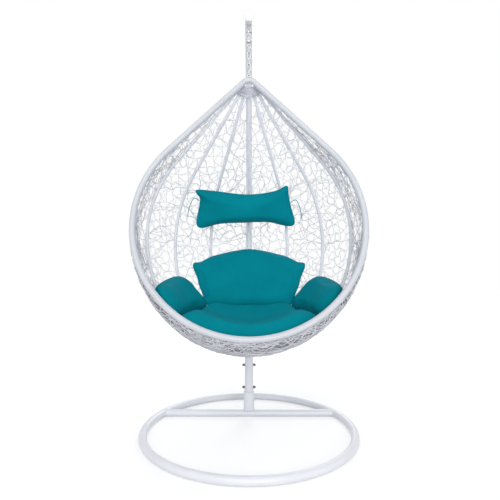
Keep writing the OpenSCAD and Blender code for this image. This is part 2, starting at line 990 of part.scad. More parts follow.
base_ring();
base_crossbar();
base_post();
post_collar();
post_bolts();
post_nuts();
post_washers();
lower_pole();
upper_arm();
pole_joint_bolt();
pole_joint_nut();
arm_end_cap();
arm_eye();
top_link();
spring_top_seat();
spring();
spring_low_seat();
swivel_eye();
chain();
chair_eye();
rim_peak();
rim_hoop();
peak_hub();
belly_hub();
rib_left_3();
rib_left_2();
rib_left_1();
rib_middle();
rib_right_1();
rib_right_2();
rib_right_3();
rib_front();
woven_top();
woven_back();
woven_flank();
woven_belly();
woven_lip();
seat_cushion();
back_cushion();
arm_cushion_left();
arm_cushion_right();
head_pillow();
pillow_tie_left();
pillow_tie_right();
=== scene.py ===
import math

import bpy
import numpy as np
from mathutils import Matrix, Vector, geometry, kdtree
from mathutils.bvhtree import BVHTree


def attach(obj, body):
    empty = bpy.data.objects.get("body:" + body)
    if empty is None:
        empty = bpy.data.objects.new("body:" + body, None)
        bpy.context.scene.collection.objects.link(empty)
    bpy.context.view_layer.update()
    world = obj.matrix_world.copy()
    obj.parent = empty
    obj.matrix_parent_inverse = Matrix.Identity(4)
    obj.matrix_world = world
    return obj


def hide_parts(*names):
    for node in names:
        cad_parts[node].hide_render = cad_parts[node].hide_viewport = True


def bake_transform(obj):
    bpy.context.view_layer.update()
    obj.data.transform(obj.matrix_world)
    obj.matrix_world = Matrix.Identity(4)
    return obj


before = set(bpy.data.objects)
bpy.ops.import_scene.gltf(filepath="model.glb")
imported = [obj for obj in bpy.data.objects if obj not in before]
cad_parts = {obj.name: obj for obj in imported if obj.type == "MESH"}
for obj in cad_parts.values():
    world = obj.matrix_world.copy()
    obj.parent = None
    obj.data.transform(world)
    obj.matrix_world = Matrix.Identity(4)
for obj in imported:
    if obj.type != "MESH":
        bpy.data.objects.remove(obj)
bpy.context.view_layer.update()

bl_info = {
    "name": "Hanging basket chair",
    "version": (1, 0, 0),
    "blender": (4, 5, 0),
    "location": "3D View > Sidebar > Basket chair",
    "description": "Weave, cushions, ties and finishes for a basket chair on a bent pole",
    "category": "Object",
}

# The basket's own shape in millimetres, as the frame was built
HANG_Y = -30.0
PEAK_Z = 1705.0
RIM_TILT = 14.5
RIM_DROP = 735.0
RIM_R = 505.0
BOWL_BACK = 90.0
BELLY_DROP = 70.0
RIB_R = 8.0
RIB_STEP = 25.0
BALL_R = math.hypot(RIM_R, BOWL_BACK)
BALL_DROP = math.hypot(RIM_DROP, BOWL_BACK)
CONE_HALF = math.degrees(math.asin(BALL_R / BALL_DROP))
CHAIR_LEAN = RIM_TILT - math.degrees(math.atan(BOWL_BACK / RIM_DROP))
FLANK_R = BALL_R + BELLY_DROP
BELLY_R = FLANK_R - BELLY_DROP * math.sqrt(2)
JOIN_FALL = math.degrees(math.atan2(BELLY_DROP + BELLY_R * math.sqrt(0.5), BELLY_R * math.sqrt(0.5)))
BALL_MIDDLE = np.array([0.0, 0.0, -BALL_DROP])

# Where the woven wall starts, behind the rim's plane and under its peak
RIM_BACK = 5.0
HUB_DROP = 44.0

# The finish of each part that shows as the frame has it
COATS = (
    (("base_ring", "base_crossbar", "base_post", "post_collar", "lower_pole", "upper_arm"), "pole_paint"),
    (("peak_hub", "belly_hub", "rib_left_3", "rib_left_2", "rib_left_1", "rib_middle", "rib_right_1",
      "rib_right_2", "rib_right_3", "rib_front"), "rib_coat"),
    # The rim's coat is darker than the ribs' as painted shade on the rim
    (("rim_peak", "rim_hoop"), "rim_coat_shaded"),
    (("post_bolts", "post_nuts", "pole_joint_bolt", "pole_joint_nut"), "bolt_zinc"),
    (("post_washers",), "washer_zinc"),
    (("arm_eye", "top_link", "spring_top_seat", "spring_low_seat", "swivel_eye", "chain", "chair_eye"),
     "hook_zinc"),
    (("arm_end_cap",), "cap_plastic"),
)


# sizes and colours


class ChairSizes(bpy.types.PropertyGroup):
    """Sizes that a user of the chair may change"""

    strand_width: bpy.props.FloatProperty(
        name="Strand width", description="Width of one wicker strand of the wall", default=0.0027,
        min=0.002, max=0.006, unit="LENGTH")
    mesh_gap: bpy.props.FloatProperty(
        name="Mesh gap", description="Distance between the middles of the wall's larger openings",
        default=0.0365, min=0.03, max=0.08, unit="LENGTH")
    stray_total: bpy.props.FloatProperty(
        name="Stray strand", description="Length of wicker that strays over the wall's mesh", default=42.0,
        min=0.0, max=150.0, unit="LENGTH")
    edge_total: bpy.props.FloatProperty(
        name="Edge strand", description="Length of wicker in the strips beside the rim", default=56.0,
        min=0.0, max=150.0, unit="LENGTH")
    nest_total: bpy.props.FloatProperty(
        name="Nest strand", description="Length of wicker on top of the thick band under the rim",
        default=95.0, min=40.0, max=200.0, unit="LENGTH")
    cloth_grain: bpy.props.FloatProperty(
        name="Cloth grain", description="Spacing of the cushions' threads", default=0.0012,
        min=0.0005, max=0.004, unit="LENGTH")
    welt_width: bpy.props.FloatProperty(
        name="Seam width", description="Thickness of the seam round each cushion", default=0.0042,
        min=0.002, max=0.008, unit="LENGTH")
    seam_reach: bpy.props.FloatProperty(
        name="Seam reach", description="How far from its seam a cushion stays creased", default=0.03,
        min=0.01, max=0.08, unit="LENGTH")
    voxel: bpy.props.FloatProperty(
        name="Cushion mesh", description="Mesh size of the cushions before they are puffed up", default=0.006,
        min=0.004, max=0.012, unit="LENGTH")


class ChairColours(bpy.types.PropertyGroup):
    """Colours of the chair's finishes"""

    paint: bpy.props.FloatVectorProperty(
        name="Pole paint", description="Powder coat of the ring base and pole", subtype="COLOR", size=3,
        default=(0.82, 0.83, 0.87), min=0, max=1)
    rib_paint: bpy.props.FloatVectorProperty(
        name="Rib paint", description="Coat of the ribs and their two hubs", subtype="COLOR", size=3,
        default=(0.82, 0.83, 0.88), min=0, max=1)
    # Darker than the rib paint: painted shade on the rim's tube
    rim_paint_shaded: bpy.props.FloatVectorProperty(
        name="Rim paint", description="Coat of the rim's tube", subtype="COLOR", size=3,
        default=(0.62, 0.64, 0.68), min=0, max=1)
    wicker: bpy.props.FloatVectorProperty(
        name="Wicker", description="Colour of the woven strands", subtype="COLOR", size=3,
        default=(0.80, 0.81, 0.86), min=0, max=1)
    cloth: bpy.props.FloatVectorProperty(
        name="Cloth", description="Colour of the cushions", subtype="COLOR", size=3,
        default=(0.0, 0.235, 0.29), min=0, max=1)
    tie: bpy.props.FloatVectorProperty(
        name="Tie", description="Colour of the pillow's ties", subtype="COLOR", size=3,
        default=(0.01, 0.30, 0.35), min=0, max=1)
    bolt: bpy.props.FloatVectorProperty(
        name="Bolts", description="Dark zinc of the bolts and nuts", subtype="COLOR", size=3,
        default=(0.17, 0.16, 0.155), min=0, max=1)
    hook: bpy.props.FloatVectorProperty(
        name="Hanging steel", description="Zinc of the eyes, link and chain", subtype="COLOR", size=3,
        default=(0.62, 0.62, 0.63), min=0, max=1)


def sizes():
    return bpy.context.scene.chair_sizes


def colours():
    return bpy.context.scene.chair_colours


# the basket's wall


def turned_x(points, degrees):
    """Points turned about the X axis."""
    c, s = math.cos(math.radians(degrees)), math.sin(math.radians(degrees))
    x, y, z = points[..., 0], points[..., 1], points[..., 2]
    return np.stack([x, y * c - z * s, y * s + z * c], axis=-1)


def chair_to_row(points):
    """From the basket's own frame, in millimetres, to the object's frame, in metres."""
    return (turned_x(points, -CHAIR_LEAN) + np.array([0.0, HANG_Y, PEAK_Z])) * 0.001


def row_to_chair(points):
    """From the object's frame, in metres, to the basket's own frame, in millimetres."""
    return turned_x((points - np.array([0.0, HANG_Y, PEAK_Z]) * 0.001) * 1000, CHAIR_LEAN)


def rim_to_chair(points):
    """From the rim's flat frame to the basket's own."""
    return turned_x(points, CHAIR_LEAN - RIM_TILT)


def chair_to_rim(points):
    """From the basket's own frame to the rim's flat one."""
    return turned_x(points, RIM_TILT - CHAIR_LEAN)


def off_rim(points):
    """Whether points of the wall lie behind the rim and below the hub at its peak."""
    return (chair_to_rim(points)[..., 1] > RIM_BACK) & (points[..., 2] < -HUB_DROP)


def fall_of(points):
    """How far below the level points about the ball's middle lie, in degrees."""
    return np.degrees(np.arctan2(-points[..., 2], np.hypot(points[..., 0], points[..., 1])))


def wall_reach(fall):
    """Distance from the ball's middle to the ribs' middle line, for a fall below the level."""
    fall = np.asarray(fall, float)
    s, c = np.sin(np.radians(fall)), np.cos(np.radians(fall))
    belly = BELLY_DROP * s + np.sqrt(BELLY_R**2 - (BELLY_DROP * c) ** 2)
    flank = -BELLY_DROP * c + np.sqrt(FLANK_R**2 - (BELLY_DROP * s) ** 2)
    cone = BALL_R / np.maximum(np.cos(np.radians(-fall - CONE_HALF)), 0.05)
    zones = [fall > JOIN_FALL, fall > 0, fall > -CONE_HALF]
    return np.select(zones, [belly, flank, np.full_like(s, BALL_R)], cone)


def wall_point(turn, fall, depth):
    """A place on the wall, in the basket's frame: a turn from the back and a fall, in degrees."""
    turn, fall = np.radians(turn), np.asarray(fall, float)
    reach = wall_reach(fall) - RIB_R - depth
    f = np.radians(fall)
    return np.stack([reach * np.sin(turn) * np.cos(f), reach * np.cos(turn) * np.cos(f),
                     -BALL_DROP - reach * np.sin(f)], axis=-1)


def on_wall(points):
    """Points about the ball's middle moved straight out or in to the ribs' middle surface."""
    size = np.maximum(np.linalg.norm(points, axis=-1), 1e-6)
    return points * (wall_reach(fall_of(points)) / size)[..., None]


def wall_out(points):
    """The wall's outward direction at points about the ball's middle."""
    flat = np.maximum(np.hypot(points[..., 0], points[..., 1]), 1e-6)
    z = points[..., 2]
    fall = fall_of(points)
    zones = [fall > JOIN_FALL, fall > 0, fall > -CONE_HALF]
    cone = math.radians(CONE_HALF)
    out = np.select(zones, [flat, flat + BELLY_DROP, flat], np.full_like(flat, math.cos(cone)))
    up = np.select(zones, [z + BELLY_DROP, z, z], np.full_like(flat, math.sin(cone)))
    size = np.hypot(out, up)
    out, up = out / size, up / size
    return np.stack([out * points[..., 0] / flat, out * points[..., 1] / flat, up], axis=-1)


def unit(v):
    """Directions of length one."""
    return v / np.maximum(np.linalg.norm(v, axis=-1, keepdims=True), 1e-9)


# making pieces


def deselect():
    for o in bpy.context.selected_objects:
        o.select_set(False)


def activate(obj):
    deselect()
    obj.select_set(True)
    bpy.context.view_layer.objects.active = obj


def face_out(obj):
    """All faces of a closed piece turned outwards."""
    activate(obj)
    bpy.ops.object.mode_set(mode="EDIT")
    bpy.ops.mesh.select_all(action="SELECT")
    bpy.ops.mesh.normals_make_consistent(inside=False)
    bpy.ops.object.mode_set(mode="OBJECT")


def new_piece(name, verts, faces, material):
    """A smooth mesh object of these points and faces, in metres."""
    mesh = bpy.data.meshes.new(name)
    mesh.from_pydata(np.asarray(verts, float).tolist(), [], faces)
    mesh.validate()
    mesh.update()
    obj = bpy.data.objects.new(name, mesh)
    bpy.context.scene.collection.objects.link(obj)
    mesh.materials.append(material)
    mesh.shade_smooth()
    return obj


def note(obj, name, values):
    """A number for each point, which the piece's material reads."""
    layer = obj.data.attributes.new(name, "FLOAT", "POINT")
    layer.data.foreach_set("value", np.asarray(values, np.float32))


# Steps of this share never repeat, so that neighbouring strands differ in tone
GOLDEN_SHARE = 0.6180339


def tube_rings(line, way, outs, wide, thick, sides):
    """Rings of points round a line that runs along way, with its thickness along outs."""
    side = unit(np.cross(way, outs))
    up = np.cross(side, way)
    turns = 2 * np.pi * np.arange(sides) / sides
    rings = (line[:, None, :] + 0.5 * thick * np.cos(turns)[None, :, None] * up[:, None, :]
             + 0.5 * wide * np.sin(turns)[None, :, None] * side[:, None, :])
    return rings.reshape(-1, 3)


def strand_mesh(runs, wide, thick, sides=4):
    """Closed tubes along runs of (points, outward directions): verts, faces, strand tone and way along."""
    verts, faces, tones, along = [], [], [], []
    base = 0
    for number, (line, outs) in enumerate(runs):
        n = len(line)
        verts.append(tube_rings(line, unit(np.gradient(line, axis=0)), outs, wide, thick, sides))
        i = np.arange(n - 1)[:, None] * sides + base
        k = np.arange(sides)[None, :]
        k2 = (k + 1) % sides
        quads = np.stack([i + k, i + k2, i + k2 + sides, i + k + sides], axis=-1).reshape(-1, 4)
        faces.extend(quads.tolist())
        faces.append([base + j for j in range(sides - 1, -1, -1)])
        faces.append([base + (n - 1) * sides + j for j in range(sides)])
        step = np.r_[0, np.cumsum(np.linalg.norm(np.diff(line, axis=0), axis=1))]
        tones.append(np.full(n * sides, (number * GOLDEN_SHARE) % 1.0))
        along.append(np.repeat(step, sides))
        base += n * sides
    return np.vstack(verts), faces, np.concatenate(tones), np.concatenate(along)


def wicker_piece(name, runs, wide, thick, material):
    """Strands along runs in the basket's own frame, with the numbers that their finish reads."""
    verts, faces, tones, along = strand_mesh(runs, wide, thick)
    obj = new_piece(name, chair_to_row(verts), faces, material)
    note(obj, "strand_tone", tones)
    note(obj, "strand_way", along * 0.001)
    return obj


# finishes


def node(tree, kind, **values):
    """A new node of that kind with these settings."""
    made = tree.nodes.new(kind)
    for key, value in values.items():
        setattr(made, key, value)
    return made


def noise(tree, coords, scale, detail=3.0, rough=0.5):
    """Cloudy values, with about scale clouds to the metre."""
    made = node(tree, "ShaderNodeTexNoise")
    made.inputs["Scale"].default_value = scale
    made.inputs["Detail"].default_value = detail
    made.inputs["Roughness"].default_value = rough
    tree.links.new(coords, made.inputs["Vector"])
    return made.outputs["Fac"]


def spread(tree, value, low, high, start=0.0, end=1.0):
    """value between start and end, spread from low to high."""
    made = node(tree, "ShaderNodeMapRange")
    made.inputs["From Min"].default_value = start
    made.inputs["From Max"].default_value = end
    made.inputs["To Min"].default_value = low
    made.inputs["To Max"].default_value = high
    tree.links.new(value, made.inputs["Value"])
    return made.outputs["Result"]


def sums(tree, operation, a, b):
    """One step of arithmetic on two numbers or outputs."""
    made = node(tree, "ShaderNodeMath", operation=operation)
    for slot, value in zip(made.inputs, (a, b)):
        if isinstance(value, (int, float)):
            slot.default_value = value
        else:
            tree.links.new(value, slot)
    return made.outputs[0]


def tint(tree, fac, dark, light):
    """A colour between dark and light."""
    made = node(tree, "ShaderNodeMix", data_type="RGBA")
    made.inputs["A"].default_value = (*dark, 1)
    made.inputs["B"].default_value = (*light, 1)
    tree.links.new(fac, made.inputs["Factor"])
    return made.outputs["Result"]


def bump(tree, height, strength, distance, before=None):
    """A surface raised by a height of at most distance, in metres, on top of the bump before it."""
    made = node(tree, "ShaderNodeBump")
    made.inputs["Strength"].default_value = strength
    made.inputs["Distance"].default_value = distance
    tree.links.new(height, made.inputs["Height"])
    if before:
        tree.links.new(before, made.inputs["Normal"])
    return made.outputs["Normal"]


def started(name):
    """A new material: its tree, shader and Object coordinates."""
    made = bpy.data.materials.new(name)
    made.use_nodes = True
    tree = made.node_tree
    shader = tree.nodes["Principled BSDF"]
    coords = node(tree, "ShaderNodeTexCoord").outputs["Object"]
    return made, tree, shader, coords


def shade(colour, share):
    """A colour made lighter or darker by a share."""
    return tuple(min(1.0, c * share) for c in colour)


def paint_finish(name, colour, rough):
    """Powder coat on steel tube: a soft orange peel, faint clouds and a few dull scuffs."""
    made, tree, shader, coords = started(name)
    clouds = noise(tree, coords, 9.0, 4.0)
    scuffs = spread(tree, noise(tree, coords, 46.0, 6.0, 0.7), 0.0, 1.0, 0.66, 0.74)
    body = tint(tree, spread(tree, clouds, 0.0, 1.0, 0.3, 0.7), shade(colour, 0.955), shade(colour, 1.02))
    mixed = node(tree, "ShaderNodeMix", data_type="RGBA")
    tree.links.new(sums(tree, "MULTIPLY", scuffs, 0.35), mixed.inputs["Factor"])
    tree.links.new(body, mixed.inputs["A"])
    mixed.inputs["B"].default_value = (*shade(colour, 0.78), 1)
    tree.links.new(mixed.outputs["Result"], shader.inputs["Base Color"])
    dull = sums(tree, "ADD", spread(tree, clouds, rough - 0.06, rough + 0.08, 0.3, 0.7),
                sums(tree, "MULTIPLY", scuffs, 0.2))
    tree.links.new(dull, shader.inputs["Roughness"])
    peel = bump(tree, noise(tree, coords, 520.0, 2.0), 0.12, 0.0004)
    tree.links.new(bump(tree, scuffs, 0.1, 0.0003, peel), shader.inputs["Normal"])
    shader.inputs["Coat Weight"].default_value = 0.15
    shader.inputs["Coat Roughness"].default_value = 0.25
    return made


def steel_finish(name, colour, rough):
    """Zinc-plated steel with fine drawn lines and tarnish."""
    made, tree, shader, coords = started(name)
    stretch = node(tree, "ShaderNodeMapping")
    stretch.inputs["Scale"].default_value = (1.0, 1.0, 0.12)
    tree.links.new(coords, stretch.inputs["Vector"])
    lines = noise(tree, stretch.outputs["Vector"], 900.0, 3.0)
    tarnish = noise(tree, coords, 120.0, 5.0, 0.6)
    body = tint(tree, spread(tree, tarnish, 0.0, 1.0, 0.35, 0.65), shade(colour, 0.72), shade(colour, 1.12))
    tree.links.new(body, shader.inputs["Base Color"])
    shader.inputs["Metallic"].default_value = 0.85
    tree.links.new(spread(tree, tarnish, rough + 0.14, rough - 0.05, 0.3, 0.7), shader.inputs["Roughness"])
    tree.links.new(bump(tree, lines, 0.18, 0.0002), shader.inputs["Normal"])
    return made


def plastic_finish(name, colour):
    """Moulded white plastic with a fine grain."""
    made, tree, shader, coords = started(name)
    clouds = noise(tree, coords, 40.0, 3.0)
    tree.links.new(tint(tree, clouds, shade(colour, 0.94), shade(colour, 1.03)), shader.inputs["Base Color"])
    tree.links.new(spread(tree, clouds, 0.36, 0.5), shader.inputs["Roughness"])
    tree.links.new(bump(tree, noise(tree, coords, 1400.0, 2.0), 0.15, 0.0002), shader.inputs["Normal"])
    return made


def wicker_finish(name, colour):
    """Half-round plastic wicker: each strand a little different, with grooves along it and dull dust."""
    made, tree, shader, coords = started(name)
    tone = node(tree, "ShaderNodeAttribute", attribute_name="strand_tone").outputs["Fac"]
    way = node(tree, "ShaderNodeAttribute", attribute_name="strand_way").outputs["Fac"]
    dust = noise(tree, coords, 30.0, 4.0, 0.6)
    ticks = node(tree, "ShaderNodeTexWave", wave_type="BANDS", bands_direction="X")
    joined = node(tree, "ShaderNodeCombineXYZ")
    tree.links.new(way, joined.inputs["X"])
    tree.links.new(tone, joined.inputs["Y"])
    tree.links.new(joined.outputs["Vector"], ticks.inputs["Vector"])
    ticks.inputs["Scale"].default_value = 60.0
    ticks.inputs["Distortion"].default_value = 3.0
    ticks.inputs["Detail"].default_value = 2.0
    mixed = sums(tree, "ADD", sums(tree, "MULTIPLY", tone, 0.55), sums(tree, "MULTIPLY", dust, 0.45))
    grade = spread(tree, mixed, 0.0, 1.0, 0.2, 0.8)
    tree.links.new(tint(tree, grade, shade(colour, 0.84), shade(colour, 1.16)), shader.inputs["Base Color"])
    tree.links.new(spread(tree, dust, 0.4, 0.62, 0.3, 0.7), shader.inputs["Roughness"])
    grooves = bump(tree, noise(tree, coords, 700.0, 2.0), 0.25, 0.0003)
    tree.links.new(bump(tree, ticks.outputs["Fac"], 0.15, 0.0003, grooves), shader.inputs["Normal"])
    return made


def cloth_finish(name, colour, grain):
    """Plain-woven outdoor cloth: crossed threads and soft mottling, quite matt."""
    made, tree, shader, coords = started(name)
    threads = []
    for turn in ((0.0, 0.0, math.radians(45)), (0.0, math.radians(90), math.radians(45))):
        laid = node(tree, "ShaderNodeMapping")
        laid.inputs["Rotation"].default_value = turn
        tree.links.new(coords, laid.inputs["Vector"])
        wave = node(tree, "ShaderNodeTexWave", wave_type="BANDS", bands_direction="DIAGONAL")
        wave.inputs["Scale"].default_value = 0.33 / grain
        wave.inputs["Distortion"].default_value = 1.2
        wave.inputs["Detail"].default_value = 2.0
        wave.inputs["Detail Scale"].default_value = 2.0
        tree.links.new(laid.outputs["Vector"], wave.inputs["Vector"])
        threads.append(wave.outputs["Fac"])
    weave = sums(tree, "MAXIMUM", threads[0], threads[1])
    mottle = noise(tree, coords, 11.0, 5.0, 0.55)
    fuzz = noise(tree, coords, 420.0, 4.0, 0.7)
    mixed = sums(tree, "ADD", sums(tree, "MULTIPLY", mottle, 0.6),
                 sums(tree, "ADD", sums(tree, "MULTIPLY", weave, 0.2), sums(tree, "MULTIPLY", fuzz, 0.2)))
    grade = spread(tree, mixed, 0.0, 1.0, 0.25, 0.8)
    tree.links.new(tint(tree, grade, shade(colour, 0.86), shade(colour, 1.12)), shader.inputs["Base Color"])
    tree.links.new(spread(tree, fuzz, 0.78, 0.95), shader.inputs["Roughness"])
    rippled = bump(tree, noise(tree, coords, 26.0, 3.0, 0.5), 0.16, 0.004)
    threaded = bump(tree, weave, 0.32, 0.0004, rippled)
    tree.links.new(bump(tree, fuzz, 0.12, 0.0003, threaded), shader.inputs["Normal"])
    shader.inputs["Specular IOR Level"].default_value = 0.06
    return made


def finish_of(name):
    """The finish of that name, made once."""
    found = bpy.data.materials.get(name)
    if found:
        return found
    c = colours()
    makers = {
        "pole_paint": lambda: paint_finish(name, c.paint, 0.33),
        "rib_coat": lambda: paint_finish(name, c.rib_paint, 0.4),
        # The rim's darker colour is painted shade
        "rim_coat_shaded": lambda: paint_finish(name, c.rim_paint_shaded, 0.4),
        "spring_coat": lambda: paint_finish(name, shade(c.paint, 1.05), 0.3),
        "bolt_zinc": lambda: steel_finish(name, c.bolt, 0.4),
        "washer_zinc": lambda: steel_finish(name, shade(c.bolt, 1.7), 0.34),
        "hook_zinc": lambda: steel_finish(name, c.hook, 0.3),
        "cap_plastic": lambda: plastic_finish(name, shade(c.paint, 0.8)),
        "wicker": lambda: wicker_finish(name, c.wicker),
        # Darker copies of the wicker: painted shade on the edge strips and the nest, and painted shadow on
        # the nest's core
        "wicker_edge_shaded": lambda: wicker_finish(name, shade(c.wicker, 0.8)),
        "wicker_under_shaded": lambda: wicker_finish(name, shade(c.wicker, 0.5)),
        "wicker_core_shadow": lambda: wicker_finish(name, shade(c.wicker, 0.34)),
        "cushion_cloth": lambda: cloth_finish(name, c.cloth, sizes().cloth_grain),
        "tie_cloth": lambda: cloth_finish(name, c.tie, 0.0008),
    }
    return makers[name]()


# stage

# The camera of the photo: its focal length in pixels of a picture 500 pixels wide, place and shift
FOCAL_PIXELS = 412.2
PHOTO_WIDTH = 500
SENSOR_WIDTH = 36.0
CAMERA_PLACE = (0.0, -2.0, 0.793)
CAMERA_SHIFT = (0.002, 0.0368)
# Each light's name, place and size in metres, and power in watts
LIGHTS = (
    ("key_light", (-1.2, -4.6, 4.2), 3.2, 64.0),
    ("fill_light", (1.2, -6.2, 1.5), 3.2, 130.0),
    ("back_light", (0.6, 3.6, 3.0), 2.2, 46.0),
)
# Where they aim, and the strength of the surround's own light
LIT_SPOT = (0, 0, 0.95)
SOFT_LIGHT = 0.64
# The seen floor's own glow near the chair and far from it, and how far out the change starts and ends
NEAR_GLOW, FAR_GLOW = 0.51, 0.68
GLOW_START, GLOW_END = 0.8, 2.2


def plain_shader(tree, kind, colour, strength=None):
    """The output of a shader of one colour."""
    made = node(tree, kind)
    made.inputs["Color"].default_value = (*colour, 1)
    if strength is not None:
        made.inputs["Strength"].default_value = strength
    return made.outputs[0]


def shown_by_ray(tree, seen, other, shown):
    """The shader shown where the ray is a seen one, and the other for the rest."""
    made = node(tree, "ShaderNodeMixShader")
    tree.links.new(seen, made.inputs["Fac"])
    tree.links.new(other, made.inputs[1])
    tree.links.new(shown, made.inputs[2])
    return made.outputs[0]


def place_camera(scene):
    """The camera at the photo's viewing angle."""
    lens = bpy.data.cameras.new("camera")
    lens.sensor_width = SENSOR_WIDTH
    lens.lens = FOCAL_PIXELS / PHOTO_WIDTH * SENSOR_WIDTH
    lens.shift_x, lens.shift_y = CAMERA_SHIFT
    camera = bpy.data.objects.new("camera", lens)
    camera.location = CAMERA_PLACE
    camera.rotation_euler = (math.radians(90), 0, 0)
    scene.collection.objects.link(camera)
    scene.camera = camera


def white_surround(scene):
    """A world that looks white and lights the chair softly."""
    world = bpy.data.worlds.new("surround")
    scene.world = world
    world.use_nodes = True
    tree = world.node_tree
    tree.nodes.clear()
    rays = node(tree, "ShaderNodeLightPath")
    seen = sums(tree, "MAXIMUM", rays.outputs["Is Camera Ray"],
                sums(tree, "MAXIMUM", rays.outputs["Is Glossy Ray"], rays.outputs["Is Transmission Ray"]))
    white = plain_shader(tree, "ShaderNodeBackground", (1, 1, 1), 1.0)
    soft = plain_shader(tree, "ShaderNodeBackground", (0.96, 0.97, 1.0), SOFT_LIGHT)
    out = node(tree, "ShaderNodeOutputWorld")
    tree.links.new(shown_by_ray(tree, seen, soft, white), out.inputs["Surface"])


def place_lights(scene):
    """Round soft lights, all aimed at the basket."""
    for name, place, size, power in LIGHTS:
        light = bpy.data.lights.new(name, "AREA")
        light.shape = "DISK"
        light.size = size
        light.energy = power
        lamp = bpy.data.objects.new(name, light)
        lamp.location = place
        aim = Vector(LIT_SPOT) - Vector(place)
        lamp.rotation_euler = aim.to_track_quat("-Z", "Y").to_euler()
        scene.collection.objects.link(lamp)


def floor_finish():
    """A matt pale floor that the camera sees as white, with the chair's shadow on it."""
    made = bpy.data.materials.new("floor_white")
    made.use_nodes = True
    tree = made.node_tree
    tree.nodes.clear()
    rays = node(tree, "ShaderNodeLightPath")
    seen = sums(tree, "MAXIMUM", rays.outputs["Is Camera Ray"], rays.outputs["Is Glossy Ray"])
    matt = plain_shader(tree, "ShaderNodeBsdfDiffuse", (0.8, 0.8, 0.81))
    pale = plain_shader(tree, "ShaderNodeBsdfDiffuse", (0.6, 0.6, 0.605))
    away = node(tree, "ShaderNodeVectorMath", operation="LENGTH")
    tree.links.new(node(tree, "ShaderNodeTexCoord").outputs["Object"], away.inputs[0])
    glow = node(tree, "ShaderNodeEmission")
    tree.links.new(spread(tree, away.outputs["Value"], NEAR_GLOW, FAR_GLOW, GLOW_START, GLOW_END),
                   glow.inputs["Strength"])
    shown = node(tree, "ShaderNodeAddShader")
    tree.links.new(pale, shown.inputs[0])
    tree.links.new(glow.outputs[0], shown.inputs[1])
    out = node(tree, "ShaderNodeOutputMaterial")
    tree.links.new(shown_by_ray(tree, seen, matt, shown.outputs[0]), out.inputs["Surface"])
    return made


class CHAIR_OT_stage(bpy.types.Operator):
    """Set the camera, the soft lights, the white surround and the pale floor"""

    bl_idname = "basket_chair.stage"
    bl_label = "Stage"

    def execute(self, context):
        scene = context.scene
        scene.view_settings.view_transform = "Standard"
        place_camera(scene)
        white_surround(scene)
        place_lights(scene)
        deselect()
        bpy.ops.mesh.primitive_plane_add(size=24.0, location=(0, 0, 0))
        floor = context.active_object
        floor.name = "floor"
        floor.data.materials.append(floor_finish())
        return {"FINISHED"}


# pillow ties

# Turn and fall in degrees and depth in millimetres of each point, as in the frame's own cords
TIE_ROUTE = ((37.5, -29, 43), (39, -29.7, 41), (41, -30, 34), (42, -28.5, 26), (42, -26, 21),
             (42, -23, 18), (42, -20, 17), (41.5, -17, 18))
TIE_D = 0.004
# How far the pillow is turned from the chair's middle, in degrees
PILLOW_TURN = -3.5


def curve_spot(a, b, c, d, t):
    """A point between b and c on a smooth curve through a, b, c and d."""
    return 0.5 * (2 * b + (c - a) * t + (2 * a - 5 * b + 4 * c - d) * t * t + (3 * b - a - 3 * c + d) * t**3)


def open_curve(points, steps):
    """A smooth line through points, with so many steps from each to the next."""
    p = [points[0], *points, points[-1]]
    made = [curve_spot(p[i - 1], p[i], p[i + 1], p[i + 2], k / steps)
            for i in range(1, len(p) - 2) for k in range(steps)]
    return np.array(made + [points[-1]])


def closed_curve(points, steps):
    """A smooth ring through points."""
    n = len(points)
    return np.array([curve_spot(points[i - 1], points[i], points[(i + 1) % n], points[(i + 2) % n], k / steps)
                     for i in range(n) for k in range(steps)])


class CHAIR_OT_ties(bpy.types.Operator):
    """Lay the two tie cords that hang from the head pillow's sides"""

    bl_idname = "basket_chair.ties"
    bl_label = "Pillow ties"

    def execute(self, context):
        for side, name in ((-1, "left"), (1, "right")):
            places = open_curve(np.array(TIE_ROUTE, float), 3)
            line = wall_point(side * places[:, 0] + PILLOW_TURN, places[:, 1], places[:, 2])
            path = chair_to_row(line)
            fine = open_curve(path, 3)
            outs = np.tile(np.array([0.0, 1.0, 0.1]), (len(fine), 1))
            verts, faces, _, _ = strand_mesh([(fine * 1000, outs)], TIE_D * 1000, TIE_D * 1000, 10)
            tie = new_piece("tie_" + name, verts * 0.001, faces, finish_of("tie_cloth"))
            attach(tie, "chair")
            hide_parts("pillow_tie_" + name)
        return {"FINISHED"}


# wicker

# Strands of the wall advance by this much, in millimetres
WALL_STEP = 9.0


def wander(starts, heads, steps, rng, sway, kink):
    """Paths that wander over the wall from starts: points and outward directions, one row a strand."""
    count = len(starts)
    place = on_wall(starts)
    out = wall_out(place)
    way = unit(heads - (heads * out).sum(-1, keepdims=True) * out)
    drift = rng.normal(0, sway, count)
    places, outs = [place], [out]
    for _ in range(steps):
        drift = 0.86 * drift + rng.normal(0, sway * 0.5, count)
        jolt = np.where(rng.random(count) < 0.16, rng.normal(0, kink, count), 0.0)
        angle = (drift + jolt)[:, None]
        way = way * np.cos(angle) + np.cross(out, way) * np.sin(angle)
        place = on_wall(place + way * WALL_STEP)
        out = wall_out(place)
        way = unit(way - (way * out).sum(-1, keepdims=True) * out)
        places.append(place)
        outs.append(out)
    return np.stack(places, 1), np.stack(outs, 1)


def swell(count, steps, rng, size):
    """A slow rise and fall along each strand."""
    t = np.arange(steps)[None, :]
    total = np.zeros((count, steps))
    for length, share in ((5.5, 0.5), (9.0, 0.8), (17.0, 0.7)):
        total += share * np.sin(2 * np.pi * (t / (length * (0.8 + 0.4 * rng.random((count, 1))))
                                             + rng.random((count, 1))))
    return size * total / 1.4


def kept_runs(points, outs, keep, least):
    """The stretches of each strand where keep is true."""
    runs = []
    for line, out, ok in zip(points, outs, keep):
        edges = np.flatnonzero(np.diff(np.r_[False, ok, False].astype(int)))
        for a, b in zip(edges[::2], edges[1::2]):
            if b - a >= least:
                runs.append((line[a:b], out[a:b]))
    return runs


